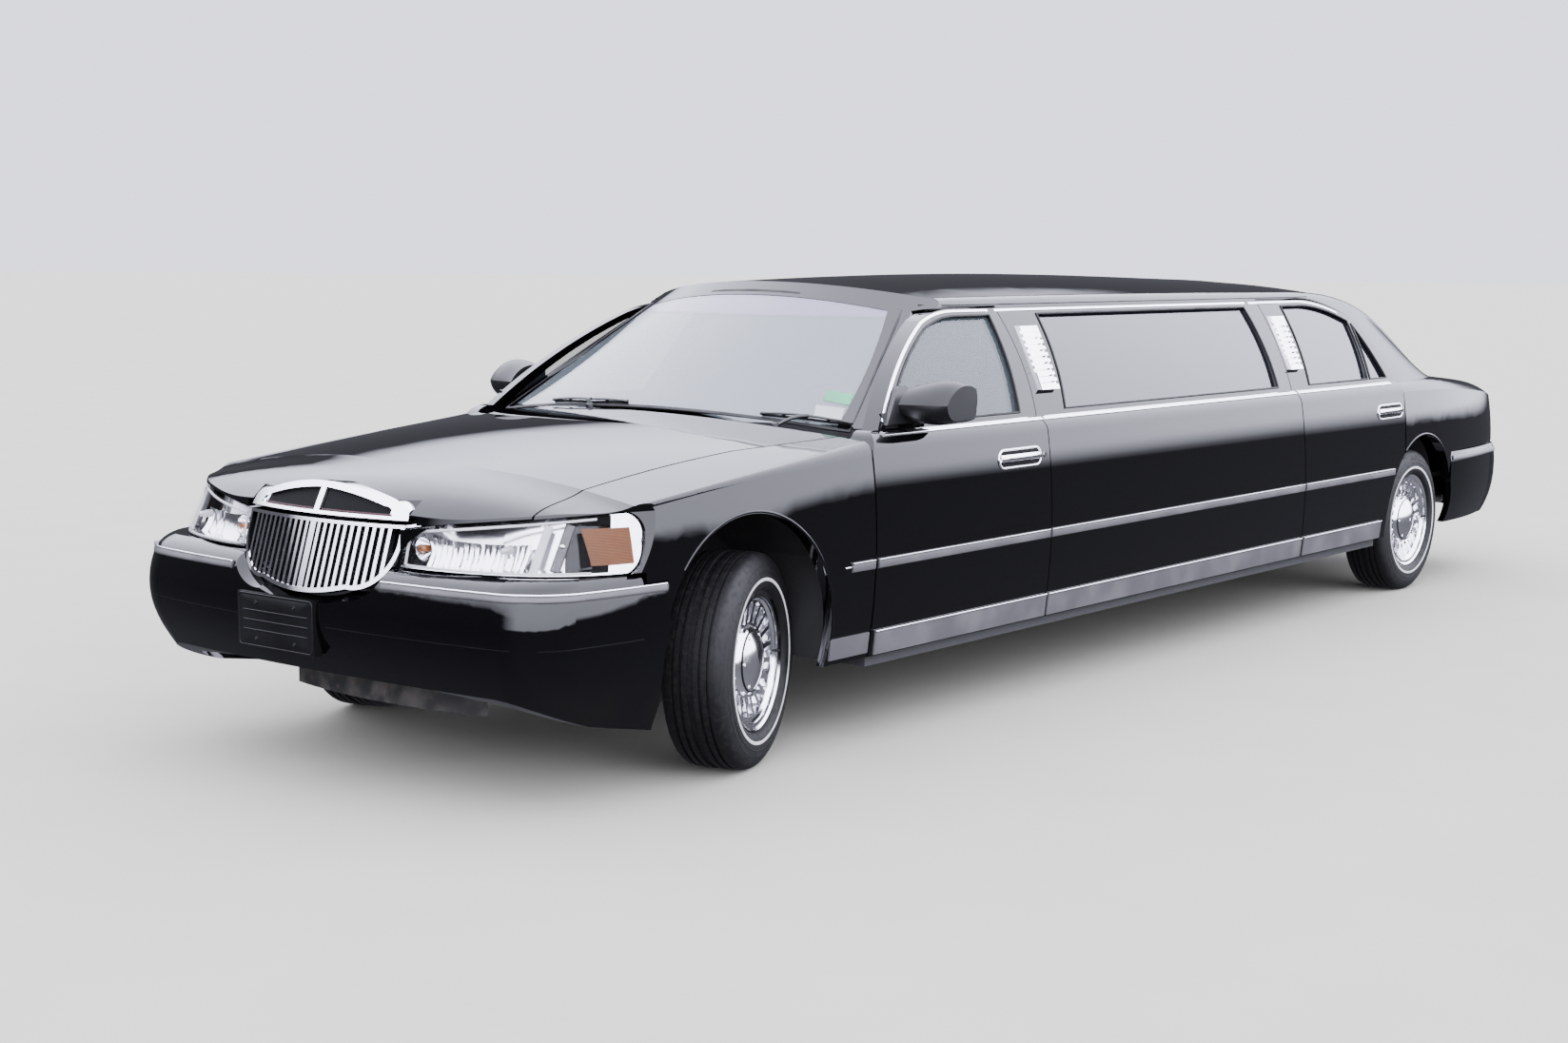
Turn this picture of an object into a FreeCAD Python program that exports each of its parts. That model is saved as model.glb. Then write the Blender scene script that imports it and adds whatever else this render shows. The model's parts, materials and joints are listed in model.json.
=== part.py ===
import FreeCAD, Part
import os
from math import cos, pi, sin
from FreeCAD import Placement, Rotation, Vector

# A full-size sedan on a separate frame, stretched between its front and rear doors.
# Front faces -Y, +X is the car's left side, +Z is up, and the origin is on the ground in
# the middle of the car.  Lengths along the car are given as s, the distance in millimetres
# behind the front axle, because every panel of such a car is laid out from its axles.

doc = FreeCAD.newDocument("stretch_limousine")
sheet = doc.addObject("Spreadsheet::Sheet", "sizes")

SIZES = (
    # alias, millimetres or degrees, meaning
    ("wheelbase", 5149, "2990 of the sedan and 2159 (85 in) of stretch"),
    ("front_overhang", 1052, "front axle to the front plate holder"),
    ("rear_overhang", 1439, "rear axle to rear bumper"),
    ("body_half_width", 986, "at the waist"),
    ("sill_height", 299, "lower edge of the doors"),
    ("waist_height", 615, "widest line of the body side"),
    ("crease_height", 988, "feature line below the windows"),
    ("belt_height", 1041, "lower edge of the windows"),
    ("rail_height", 1432, "upper edge of the doors"),
    ("roof_height", 1550, "crown of the roof"),
    ("panel_gap", 6, "gap round doors and lids"),
    ("wall_thickness", 105, "doors and body sides, outer skin to inner trim"),
    ("skin_thickness", 38, "roof and outer panels with their inner pressing"),
    ("glass_thickness", 6, "all windows"),
    ("door_front", 565, "front edge of the front door"),
    ("edge_lean", 0.36, "the doors' edges run forward by this share of their depth"),
    ("front_arch_radius", 410, "front wheel opening"),
    ("rear_arch_radius", 400, "rear wheel opening"),
    ("tyre_radius", 347, "225/70 R16, standing under load"),
    ("tyre_width", 226, "section width"),
    ("tread_half_width", 88, "flat of the tread"),
    ("rim_radius", 203, "bead seat of a 16 in rim"),
    ("front_half_track", 805, "middle of the car to middle of the front tyre"),
    ("rear_half_track", 833, "middle of the car to middle of the rear tyre"),
    ("kingpin_offset", 95, "wheel middle to steering axis"),
    ("steer_angle", 19, "front wheels turned to the car's left"),
    ("spoke_count", 20, "ribs of the alloy rim"),
    ("bar_count", 23, "upright bars of the grille"),
    ("bar_pitch", 27.5, "grille bar to grille bar"),
    ("bar_width", 12, "one grille bar"),
    ("centre_bar_width", 24, "bar in the middle of the grille"),
    ("engine_length", 620, "engine block"),
    ("engine_width", 560, "engine block"),
    ("engine_height", 480, "engine block"),
    ("engine_front", 330, "engine block ahead of the front axle"),
    ("engine_floor", 420, "underside of the engine block"),
    ("radiator_width", 720, "radiator core"),
    ("radiator_depth", 60, "radiator core"),
    ("radiator_height", 400, "radiator core"),
    ("radiator_ahead", 788, "radiator core ahead of the front axle"),
    ("tank_width", 760, "fuel tank between the frame rails"),
    ("tank_length", 600, "fuel tank"),
    ("tank_height", 155, "fuel tank"),
    ("tank_behind", 351, "fuel tank behind the rear axle"),
    ("tank_floor", 300, "underside of the fuel tank"),
    ("spring_radius", 50, "coil springs, outside"),
    ("axle_tube_radius", 40, "rear axle"),
    ("lens_thickness", 5, "headlamp lens"),
    ("plate_holes_across", 177.8, "7 in between the holes of a plate"),
    ("plate_holes_up", 120.65, "4.75 in between the holes of a plate"),
    ("plate_hole_radius", 3.2, "holes for quarter-inch screws"),
    ("shaft_radius", 40, "propeller shaft"),
    ("steering_radius", 190, "steering wheel"),
)

for row, (alias, amount, meaning) in enumerate(SIZES, 1):
    sheet.set("A%d" % row, alias)
    sheet.set("B%d" % row, str(amount))
    sheet.set("C%d" % row, meaning)
    sheet.setAlias("B%d" % row, alias)
doc.recompute()


def size(alias):
    return float(sheet.get(alias))


FRONT_OVERHANG = size("front_overhang")
WHEELBASE = size("wheelbase")
MIDDLE = (WHEELBASE + size("rear_overhang") - FRONT_OVERHANG) / 2
HALF_WIDTH = size("body_half_width")
SILL = size("sill_height")
WAIST = size("waist_height")
CREASE = size("crease_height")
BELT = size("belt_height")
RAIL = size("rail_height")
GAP = size("panel_gap")
SKIN = size("skin_thickness")
WALL = size("wall_thickness")
GLASS = size("glass_thickness")
FAR = 1300                      # beyond the body on either side
LEFT, RIGHT = 1, -1

# ---------------------------------------------------------------- drawing helpers


def from_side(x):
    """Points (s, z) of a side view, drawn at x."""
    return lambda s, z: Vector(x, s - MIDDLE, z)


def from_front(s):
    """Points (x, z) of a cross-section at s."""
    return lambda x, z: Vector(x, s - MIDDLE, z)


def from_above(z):
    """Points (x, s) of a plan at height z."""
    return lambda x, s: Vector(x, s - MIDDLE, z)


def outline(view, start, *moves):
    """A closed wire.  A move is a point to go straight to, or (through, end) for an arc."""
    edges = []
    here = start
    for move in moves + (start,):
        if isinstance(move[0], tuple):
            through, end = move
            edges.append(Part.Arc(view(*here), view(*through), view(*end)).toShape())
        else:
            end = move
            if end != here:
                edges.append(Part.makeLine(view(*here), view(*end)))
        here = end
    return Part.Wire(edges)


def thick(wire, along):
    return Part.Face(wire).extrude(along)


def side_slab(x0, x1, start, *moves):
    return thick(outline(from_side(x0), start, *moves), Vector(x1 - x0, 0, 0))


def cross_slab(s0, s1, start, *moves):
    return thick(outline(from_front(s0), start, *moves), Vector(0, s1 - s0, 0))


def plan_slab(z0, z1, start, *moves):
    return thick(outline(from_above(z0), start, *moves), Vector(0, 0, z1 - z0))


def block(x0, x1, s0, s1, z0, z1):
    return Part.makeBox(x1 - x0, s1 - s0, z1 - z0, Vector(x0, s0 - MIDDLE, z0))


def across(x0, x1, s, z, radius):
    """A cylinder lying across the car."""
    return Part.makeCylinder(radius, x1 - x0, Vector(x0, s - MIDDLE, z), Vector(1, 0, 0))


def mirrored(shape):
    return shape.mirror(Vector(0, 0, 0), Vector(1, 0, 0))


def both(shape):
    """The same piece on the left and on the right, as two solids."""
    return Part.Compound([shape, mirrored(shape)])


def only_solid(shape):
    """The one solid that a cut leaves, without the compound round it."""
    solids = sorted(shape.Solids, key=lambda solid: -solid.Volume)
    return solids[0]


# ---------------------------------------------------------------- body surfaces


def lower_section(s, waist, crease_x, crease_z, shoulder_x, shoulder_z, crown_z, foot_x, foot_z):
    """Cross-section of the body below the windows: two side arcs, two shoulders, one crown."""
    view = from_front(s)
    return outline(
        view, (-foot_x, foot_z), (foot_x, foot_z),
        ((waist, WAIST * 0.6 + foot_z * 0.4 if crease_z < 800 else WAIST), (crease_x, crease_z)),
        (((crease_x + shoulder_x) / 2 + 8, (crease_z + shoulder_z) / 2 + 4), (shoulder_x, shoulder_z)),
        ((0, crown_z), (-shoulder_x, shoulder_z)),
        ((-(crease_x + shoulder_x) / 2 - 8, (crease_z + shoulder_z) / 2 + 4), (-crease_x, crease_z)),
        ((-waist, WAIST * 0.6 + foot_z * 0.4 if crease_z < 800 else WAIST), (-foot_x, foot_z)))


FRONT_STATIONS = (
    # s, waist, crease_x, crease_z, shoulder_x, shoulder_z, crown_z
    (-960, 966, 950, 846, 935, 858, 925),
    (-560, 972, 955, 886, 938, 899, 989),
    (-120, 980, 961, 930, 937, 947, 1047),
    (260, 984, 966, 958, 934, 986, 1074),
    (600, 986, 968, 976, 930, 1020, 1092),
)
REAR_STATIONS = (
    # s, waist, crease_x, crease_z, shoulder_x, shoulder_z, crown_z
    (4700, 986, 968, 988, 920, 1036, 1072),
    (5100, 986, 967, 988, 916, 1036, 1072),
    (5480, 980, 960, 981, 890, 1032, 1066),
    (5820, 962, 940, 964, 850, 1013, 1049),
    (6110, 930, 907, 938, 806, 987, 1023),
    (6350, 874, 852, 903, 745, 951, 986),
    (6556, 760, 742, 812, 650, 862, 890),
)
FRONT_FOOT = (950, 250)
REAR_FOOT = (940, 300)


def lower_body(stations, foot, inset):
    """The body below the windows as one loft, inset all round for the inner faces."""
    wires = []
    for s, waist, crease_x, crease_z, shoulder_x, shoulder_z, crown_z in stations:
        narrow = waist - HALF_WIDTH
        wires.append(lower_section(
            s, waist - inset, crease_x - inset, crease_z - inset, shoulder_x - inset,
            shoulder_z - inset, crown_z - inset, foot[0] + narrow - inset, foot[1] - inset * 2))
    return Part.makeLoft(wires, True, False)


def side_wall():
    """Constant section of the doors and of the stretch: outer skin, inner trim between."""
    depth = WALL
    frame = SKIN * 1.25
    return cross_slab(
        500, 5000, (962, SILL),
        ((HALF_WIDTH, WAIST), (968, CREASE)),
        ((954, CREASE + 34), (926, BELT)),
        ((817, 1238), (688, RAIL)),
        (688 - frame, RAIL),
        ((817 - frame, 1238), (926 - frame, BELT - 10)),
        (HALF_WIDTH - depth, CREASE),
        (HALF_WIDTH - depth, SILL))


def glass_wall():
    """Constant section of the side glass, in the middle of the wall's window frames."""
    outer = 12
    inner = outer + GLASS * 1.2
    return cross_slab(
        500, 5000, (926 - outer, BELT - 6), ((817 - outer, 1238), (688 - outer, RAIL)),
        (688 - inner, RAIL), ((817 - inner, 1238), (926 - inner, BELT - 6)))


CABIN_ROOF = (
    # s, belt_x, rail_x, rail_z, edge_x, edge_z, crown_z
    (540, 922, 687, 1434, 628, 1470, 1500),
    (1480, 922, 687, 1434, 628, 1473, 1535),
    (2420, 922, 687, 1434, 628, 1476, 1550),
    (3360, 922, 687, 1434, 628, 1474, 1541),
    (4300, 922, 687, 1434, 628, 1468, 1520),
)
REAR_ROOF = (
    # s, belt_x, rail_x, rail_z, edge_x, edge_z, crown_z
    (4300, 922, 687, 1434, 628, 1468, 1520),
    (4560, 921, 690, 1426, 624, 1461, 1508),
    (4800, 919, 698, 1402, 628, 1437, 1487),
    (5020, 914, 720, 1344, 660, 1376, 1436),
    (5210, 904, 754, 1242, 705, 1270, 1346),
    (5370, 886, 796, 1124, 755, 1146, 1218),
    (5500, 862, 812, 1052, 775, 1060, 1092),
)


def greenhouse(stations, inset):
    """Roof and pillars as one loft: side, rail and crown arcs, inset for the inner faces."""
    wires = []
    for s, belt_x, rail_x, rail_z, edge_x, edge_z, crown_z in stations:
        foot_z = 1036 - inset
        side = ((belt_x + rail_x) / 2 + 12 - inset, (foot_z + rail_z) / 2)
        bend = ((rail_x + edge_x) / 2 + 9 - inset, (rail_z + edge_z) / 2 + 9 - inset)
        wires.append(outline(
            from_front(s), (-belt_x + inset, foot_z), (belt_x - inset, foot_z),
            (side, (rail_x - inset, rail_z - inset)),
            (bend, (edge_x - inset, edge_z - inset)),
            ((0, crown_z - inset), (-edge_x + inset, edge_z - inset)),
            ((-bend[0], bend[1]), (-rail_x + inset, rail_z - inset)),
            ((-side[0], side[1]), (-belt_x + inset, foot_z))))
    return Part.makeLoft(wires, True, False)


SCREEN_BASE = ((812, 642, 1036), (0, 530, 1086))      # x, s, z of the left corner and of the middle
SCREEN_TOP = ((600, 1234, 1424), (0, 1130, 1492))
SCREEN_REACH = 0.3                                    # the surface runs on past its rims by this share
SCREEN_SPREAD = 1.25                                  # and past its corners sideways


def screen_solid(front, back):
    """The windscreen's surface, run on past its rims, thickened between two depths."""
    rims = []
    for near, far in ((SCREEN_BASE, SCREEN_TOP), (SCREEN_TOP, SCREEN_BASE)):
        corner, middle = [[a + (a - b) * SCREEN_REACH for a, b in zip(one, other)]
                          for one, other in zip(near, far)]
        x_end = corner[0] * SCREEN_SPREAD
        end, top = [Vector(x, m + (c - m) * bend - MIDDLE + front, mz + (cz - mz) * bend)
                    for x, bend, c, m, cz, mz in (
                        (x_end, SCREEN_SPREAD ** 2, corner[1], middle[1], corner[2], middle[2]),
                        (0, 0, corner[1], middle[1], corner[2], middle[2]))]
        rims.append(Part.Arc(Vector(-end.x, end.y, end.z), top, end).toShape())
    return Part.makeRuledSurface(rims[0], rims[1]).extrude(Vector(0, back - front, 0))


# ---------------------------------------------------------------- outlines of the panels

FRONT_DOOR = (
    (565, SILL), (565, 955), ((585, 1018), (650, 1046)), ((905, 1251), (1180, 1394)),
    ((1320, 1426), (1450, RAIL + 1)), (1716, RAIL + 1), ((1698, 1224), (1655, BELT)), (1668, SILL))
FRONT_GLASS = (
    (722, 1060), ((930, 1228), (1190, 1368)), ((1320, 1400), (1440, 1408)), (1650, 1408),
    ((1610, 1224), (1545, 1060)))
CENTRE_PANEL = ((1600, SILL), (1600, RAIL), (3960, RAIL), (3960, SILL))
CENTRE_GLASS = (
    (1862, 1060), ((1938, 1224), (1982, 1408)), (3726, 1408), ((3712, 1224), (3666, 1060)))
REAR_DOOR = (
    (3846, SILL), (3800, BELT), ((3847, 1224), (3886, RAIL + 1)), (4250, RAIL + 1),
    ((4560, 1406), (4770, 1346)), ((4862, 1200), (4922, BELT)), (4922, SILL))
REAR_GLASS = (
    (3978, 1060), ((4050, 1224), (4094, 1408)), (4250, 1408), ((4500, 1388), (4706, 1330)),
    ((4672, 1200), (4614, 1060)))
QUARTER_GLASS = (
    (4642, 1060), ((4698, 1200), (4732, 1318)), ((4790, 1190), (4830, 1060)))
# wheel openings: middle s, middle z
FRONT_ARCH = (-72, 424)
REAR_ARCH = (5165, 368)


def plate(x0, x1, points, gap=0.0):
    """A side-view outline made into a slab, moved outward by a gap."""
    wire = outline(from_side(x0), *points)
    if gap:
        wire = wire.makeOffset2D(gap, 2)
    return thick(wire, Vector(x1 - x0, 0, 0))


def skin_x(z):
    """Half width of the body side at a height."""
    if z > BELT:
        return 922 - 0.6 * (z - BELT)
    return HALF_WIDTH - 1.3e-4 * (z - WAIST) ** 2


def bevelled(points, gap=0.0):
    """A door outline as a slab whose edges lean forward inside, so that the door swings clear."""
    def lean(point):
        return (point[0] - size("edge_lean") * skin_x(point[1]), point[1])
    moves = [(lean(move[0]), lean(move[1])) if isinstance(move[0], tuple) else lean(move)
             for move in points]
    wire = outline(from_side(0), *moves)
    if gap:
        wire = wire.makeOffset2D(gap, 2)
    slab = thick(wire, Vector(FAR, FAR * size("edge_lean"), 0))
    return slab.common(block(500, FAR, 0, 6000, 0, 2000))


# ---------------------------------------------------------------- build and keep

kept = []


def keep(node, shape, where=None):
    """Adds a sub-part whose shape Part's functions made."""
    piece = doc.addObject("Part::Feature", node)
    piece.Label = node
    piece.Shape = shape
    if where is not None:
        piece.Placement = where
    kept.append(piece)
    return piece


def bound(kind, name, **expressions):
    """Adds a native solid whose sizes and place follow the sheet."""
    thing = doc.addObject("Part::" + kind, name)
    for name_of_property, expression in expressions.items():
        if name_of_property in ("x", "y", "z"):
            name_of_property = "Placement.Base." + name_of_property
        thing.setExpression(name_of_property, expression)
    return thing


MIDDLE_OF_CAR = "(sizes.wheelbase + sizes.rear_overhang - sizes.front_overhang) / 2"

front_arch = across(600, FAR, *FRONT_ARCH, size("front_arch_radius"))
rear_arch = across(640, FAR, *REAR_ARCH, size("rear_arch_radius"))
front_body = lower_body(FRONT_STATIONS, FRONT_FOOT, 0)
front_inner = lower_body(FRONT_STATIONS, FRONT_FOOT, SKIN)
rear_body = lower_body(REAR_STATIONS, REAR_FOOT, 0)
rear_inner = lower_body(REAR_STATIONS, REAR_FOOT, SKIN)
rear_plan = plan_slab(200, 1200, (-1000, 4600), (1000, 4600), (1000, 6240), ((890, 6400), (640, 6510)),
                      ((0, 6556), (-640, 6510)), ((-890, 6400), (-1000, 6240)))
rear_body = rear_body.common(rear_plan)
wall = side_wall()
panes = glass_wall()

# ---- hood and front fenders
NOSE_LOW = ((-1000, 700), (1000, 700), (1000, -400), (974, -430), ((884, -760), (705, -890)),
            ((0, -960), (-705, -890)), ((-884, -760), (-974, -430)), (-1000, -400))
NOSE_HIGH = ((-1000, 700), (1000, 700), (1000, -400), (966, -430), ((915, -619), (699, -808)),
             ((0, -947), (-699, -808)), ((-915, -619), (-966, -430)), (-1000, -400))
LAMP_LOW, LAMP_HIGH = 706, 880
NOSE_FALL = (
    # s, height of the hood's surface in the middle, and 1000 out from the middle
    (-940, 880, 470), (-860, 925, 714), (-780, 950, 818), (-700, 966, 848), (-620, 980, 865),
    (-540, 1000, 905),
)


def under_crown(lift):
    """The room below the hood's front edge, which rises outward over the lamps."""
    high, low = LAMP_HIGH - 2 + lift, 815 + lift
    return cross_slab(-1100, -400, (-FAR, 0), (FAR, 0), (FAR, high), (930, high), (350, low), (-350, low),
                      (-930, high), (-FAR, high))


def leaning(front, foot_z, rise, front_top, depth):
    """A wall across the nose, bowed forward in plan and leaning back, between two heights."""
    bow = 52
    plan = outline(from_above(foot_z), (-360, front + bow), ((0, front), (360, front + bow)),
                   (360, front + bow + depth), ((0, front + depth), (-360, front + bow + depth)))
    return thick(plan, Vector(0, front_top - front, rise))


nose_plan = Part.makeLoft([outline(from_above(LAMP_LOW), *NOSE_LOW), outline(from_above(LAMP_HIGH), *NOSE_HIGH)],
                          True, True)
nose_plan = nose_plan.multiFuse([plan_slab(200, LAMP_LOW, *NOSE_LOW), plan_slab(LAMP_HIGH, 1200, *NOSE_HIGH)])
nose_curve = Part.makeLoft([outline(from_front(s), (-1000, 200), (-1000, edge), ((0, middle), (1000, edge)),
                                    (1000, 200)) for s, middle, edge in NOSE_FALL], True, False)
nose_curve = nose_curve.fuse(block(-FAR, FAR, -540, 700, 200, 1200))
HEADER_FOOT, HEADER_TOP = 838, 934
HEADER_LEAN = (-982, HEADER_FOOT - 20, 130, -917)       # front, foot, rise and front of the top
header_arch = cross_slab(-960, -560, (-348, 700), (-348, 842), ((0, HEADER_TOP - 4), (348, 842)), (348, 700))
nose = front_body.common(nose_plan)

hood_plan = plan_slab(700, 1200, (742, -1000), (742, -720), ((735, -300), (750, 100)), (838, 540),
                      ((0, 420), (-838, 540)), (-750, 100), ((-735, -300), (-742, -720)), (-742, -1000))
hood_mass = nose.common(nose_curve.fuse(header_arch)).common(hood_plan)
hood_mass = hood_mass.cut(block(-FAR, FAR, -1100, 800, 0, 820)).cut(under_crown(6))
hood_mass = hood_mass.cut(block(-386, 386, -1100, 800, 0, 848))
ahead = leaning(-982 - 200, HEADER_FOOT - 20, 130, -917 - 200, 226)
hood_mass = hood_mass.cut(ahead)
hood_hollow = nose.common(nose_curve.fuse(header_arch))
hood_hollow.translate(Vector(0, 24, -26))
keep("hood", only_solid(hood_mass.cut(hood_hollow)))

# the bright header on the hood's nose: an arched rim, a middle rib and two recesses
header_front = cross_slab(-1100, -800, (-356, HEADER_FOOT), ((-346, 868), (-285, 889)),
                          ((0, HEADER_TOP), (285, 889)), ((346, 868), (356, HEADER_FOOT)))
header = header_front.common(leaning(*HEADER_LEAN, 26))
recess = leaning(*HEADER_LEAN, 14)
for side in (LEFT, RIGHT):
    opening = cross_slab(-1100, -800, (side * 12, 848), (side * 12, 916), ((side * 130, 904), (side * 262, 876)),
                         ((side * 290, 866), (side * 300, 848)))
    header = header.cut(opening.common(recess))
keep("hood_header", only_solid(header))

fender_plan = plan_slab(200, 1200, (FAR, -1000), (FAR, 600), (846, 600),
                        (839 + GAP, 540), (751 + GAP, 100), ((736 + GAP, -300), (742 + GAP, -720)),
                        (742 + GAP, -1000))
lowered_curve = nose_curve.copy()
lowered_curve.translate(Vector(0, 20, -26))
fender = nose.common(nose_curve).cut(front_inner.common(lowered_curve)).common(fender_plan)
LAMP_WINDOW = ((-1100, LAMP_LOW - 2), (-660, LAMP_LOW - 2), ((-582, 726), (-556, 796)),
               ((-562, 858), (-616, LAMP_HIGH)), (-1100, LAMP_HIGH))
fender = fender.cut(front_arch).cut(plate(300, FAR, LAMP_WINDOW, 4).common(under_crown(4)))
fender = fender.cut(block(0, FAR, -1100, -556, 0, 704))
fender = fender.cut(block(0, FAR, -600, -464, 0, 672)).cut(block(0, FAR, -1100, 900, 0, SILL))
fender = fender.cut(bevelled(FRONT_DOOR, GAP + 1)).cut(block(700, FAR, 566, 900, 0, 1200))
keep("front_fenders", both(only_solid(fender)))

# liners of the front wheel openings, and tubs over the rear wheels
liner_shape = ((405, 0), (405, 640), ((-40, 828), (-478, 640)), (-478, 0))
liner_back = ((419, 300), (419, 650), ((-40, 842), (-492, 650)), (-492, 560))
liner = side_slab(468, 925, *liner_back).cut(side_slab(480, FAR, *liner_shape))
liner = liner.cut(block(468, 480, -600, 500, 0, 410)).cut(block(0, FAR, -600, -300, 0, 560))
tub = across(645, 868, *REAR_ARCH, size("rear_arch_radius") + 32)
tub = tub.cut(across(657, FAR, *REAR_ARCH, size("rear_arch_radius") + 20))
tub = tub.cut(block(0, FAR, 4500, 5700, -100, 420))
liner = only_solid(liner)
tub = only_solid(tub)
keep("wheelhouses", Part.Compound([liner, mirrored(liner), tub, mirrored(tub)]))

# ---- doors and body sides, all cut from one constant wall
DOORS = (
    # name, panel outline, openings
    ("front_door", FRONT_DOOR, (FRONT_GLASS,)),
    ("rear_door", REAR_DOOR, (REAR_GLASS, QUARTER_GLASS)),
)
for name, panel, openings in DOORS:
    door = wall.common(bevelled(panel)).cut(rear_arch)
    for opening in openings:
        door = door.cut(plate(500, FAR, opening))
    door = only_solid(door)
    glass = Part.Compound([only_solid(panes.common(plate(500, FAR, opening))) for opening in openings])
    keep(name + "_left", door)
    keep(name + "_right", mirrored(door))
    keep(name + "_glass_left", glass)
    keep(name + "_glass_right", mirrored(glass))

centre = wall.common(plate(500, FAR, CENTRE_PANEL)).cut(plate(500, FAR, CENTRE_GLASS))
centre = centre.cut(bevelled(FRONT_DOOR, GAP)).cut(bevelled(REAR_DOOR, GAP + 2))
keep("centre_sections", both(only_solid(centre)))
keep("centre_windows", both(only_solid(panes.common(plate(500, FAR, CENTRE_GLASS)))))

# upright lamps on the pillars: a bright rim round a ribbed lens
LAMPS = (
    # node, sides, s of the lower and the upper middle, half width, z of both
    ("opera_lamps", (LEFT, RIGHT), 1793, 1846, 62, 1134, 1365),
    ("door_lamp_left", (LEFT,), 3894, 3963, 61, 1134, 1365),
    ("door_lamp_right", (RIGHT,), 3894, 3963, 61, 1134, 1365),
)
lamp_wall = cross_slab(500, 5000, (926, BELT), ((817, 1238), (688, RAIL)), (704, RAIL + 6),
                       ((835, 1246), (944, BELT)))
for node, sides, s_low, s_high, reach, z_low, z_high in LAMPS:
    lean = (s_high - s_low) / 2
    s_mid = (s_low + s_high) / 2
    edge = ((s_low - reach, z_low), (s_low + reach, z_low),
            ((s_mid + reach - 0.12 * lean, (z_low + z_high) / 2), (s_high + reach, z_high)),
            (s_high - reach, z_high), ((s_mid - reach - 0.12 * lean, (z_low + z_high) / 2),
                                       (s_low - reach, z_low)))
    lamp = lamp_wall.common(plate(500, FAR, edge))
    groove_pitch = (z_high - z_low - 24) / 9
    for index in range(9):
        z = z_low + 12 + groove_pitch * (index + 0.25)
        groove = block(640, FAR, s_low - reach + 12, s_high + reach - 12, z, z + groove_pitch / 2)
        behind = lamp_wall.copy()
        behind.translate(Vector(10, 0, 4))
        lamp = lamp.cut(groove.common(behind))
    lamps = [lamp if side == LEFT else mirrored(lamp) for side in sides]
    keep(node, Part.Compound([only_solid(one) for one in lamps]))

# mirrors: a shell on a triangular foot in the front corner of the door's window
foot_plate = lamp_wall.common(plate(500, FAR, ((690, 1062), (880, 1062), ((880, 1180), (830, 1176)))))
arm = block(908, 990, 812, 866, 1078, 1112)
MIRROR_STATIONS = (
    # x, s of the front edge, lift of the rims
    (918, 776, 16),
    (973, 790, 4),
    (1028, 802, 0),
    (1083, 826, 14),
)
shell = Part.makeLoft([
    outline(from_side(x), (s, 1126), ((s + 16, 1076 + lift), (s + 62, 1058 + lift)), (s + 168, 1060 + lift),
            ((s + 182, 1126), (s + 176, 1190 - lift)), ((s + 70, 1196 - lift), (s, 1126)))
    for x, s, lift in MIRROR_STATIONS], True, False)
mirror = shell.fuse(arm).fuse(foot_plate)
mirror = only_solid(mirror)
keep("mirror_left", mirror)
keep("mirror_right", mirrored(mirror))

# ---- roof with its pillars
frame_zone = cross_slab(500, 5100, (864, 900), (864, BELT), ((755, 1238), (628, RAIL - 6)),
                        (628, RAIL + 12), (FAR, RAIL + 12), (FAR, 900))
door_room = bevelled(FRONT_DOOR, GAP + 2).fuse(bevelled(REAR_DOOR, GAP + 2))
door_room = door_room.fuse(plate(500, FAR, CENTRE_PANEL, 1)).common(frame_zone)
inside = greenhouse(CABIN_ROOF, SKIN).cut(screen_solid(-1500, SKIN * 1.6))
cabin_shell = greenhouse(CABIN_ROOF, 0).cut(screen_solid(-1500, 0))
screen_hole = plan_slab(900, 1700, (-770, 610), ((-688, 900), (-562, 1205)), ((0, 1108), (562, 1205)),
                        ((688, 900), (770, 610)), (770, 300), (-770, 300))
windscreen = cabin_shell.common(screen_solid(3, 3 + GLASS * 1.6)).common(screen_hole)
windscreen = windscreen.cut(block(-FAR, FAR, 0, 900, 0, 1056))
keep("windscreen", only_solid(windscreen))

rear_shell = greenhouse(REAR_ROOF, 0)
back_hole = plan_slab(1000, 1700, (-700, 5436), ((-650, 5180), (-560, 4960)), ((0, 5010), (560, 4960)),
                      ((650, 5180), (700, 5436)), ((0, 5540), (-700, 5436)))
back_outer = rear_shell.copy()
back_outer.translate(Vector(0, 0, -4))
back_inner = rear_shell.copy()
back_inner.translate(Vector(0, 0, -4 - GLASS * 1.5))
rear_window = back_outer.cut(back_inner).common(back_hole).cut(block(-FAR, FAR, 4000, 5900, 0, 1080))
keep("rear_window", only_solid(rear_window))

roof = cabin_shell.cut(inside).fuse(rear_shell.cut(greenhouse(REAR_ROOF, SKIN)))
roof = roof.cut(door_room).cut(mirrored(door_room)).cut(screen_hole).cut(back_hole)
roof = roof.cut(block(-FAR, FAR, 400, 4900, 900, 1046)).cut(rear_body)
keep("roof", only_solid(roof))

# ---- quarter panels, trunk lid, tail panel
LID = ((-684, 5640), ((-676, 6100), (-600, 6440)), (-600, 6700), (600, 6700), (600, 6440),
       ((676, 6100), (684, 5640)), ((0, 5700), (-684, 5640)))
quarter = rear_body.cut(rear_inner).common(block(0, FAR, 4900, 6600, 0, 1200))
quarter = quarter.cut(bevelled(REAR_DOOR, GAP)).cut(block(0, FAR, 4800, 4921, 0, 1200)).cut(rear_arch)
quarter = quarter.cut(plan_slab(700, 1200, (-FAR, 4000), (-FAR, 6700), (608, 6700), (608, 6440),
                                ((684, 6100), (692, 5640)), (692, 4000)))
quarter = quarter.cut(block(0, FAR, 5534, 6700, 0, 664)).cut(block(0, FAR, 6300, 6700, 0, 880))
keep("quarter_panels", both(only_solid(quarter)))
lid = rear_body.cut(rear_inner).fuse(rear_body.common(block(-590, 590, 6480, 6556, 740, 1000)))
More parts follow.
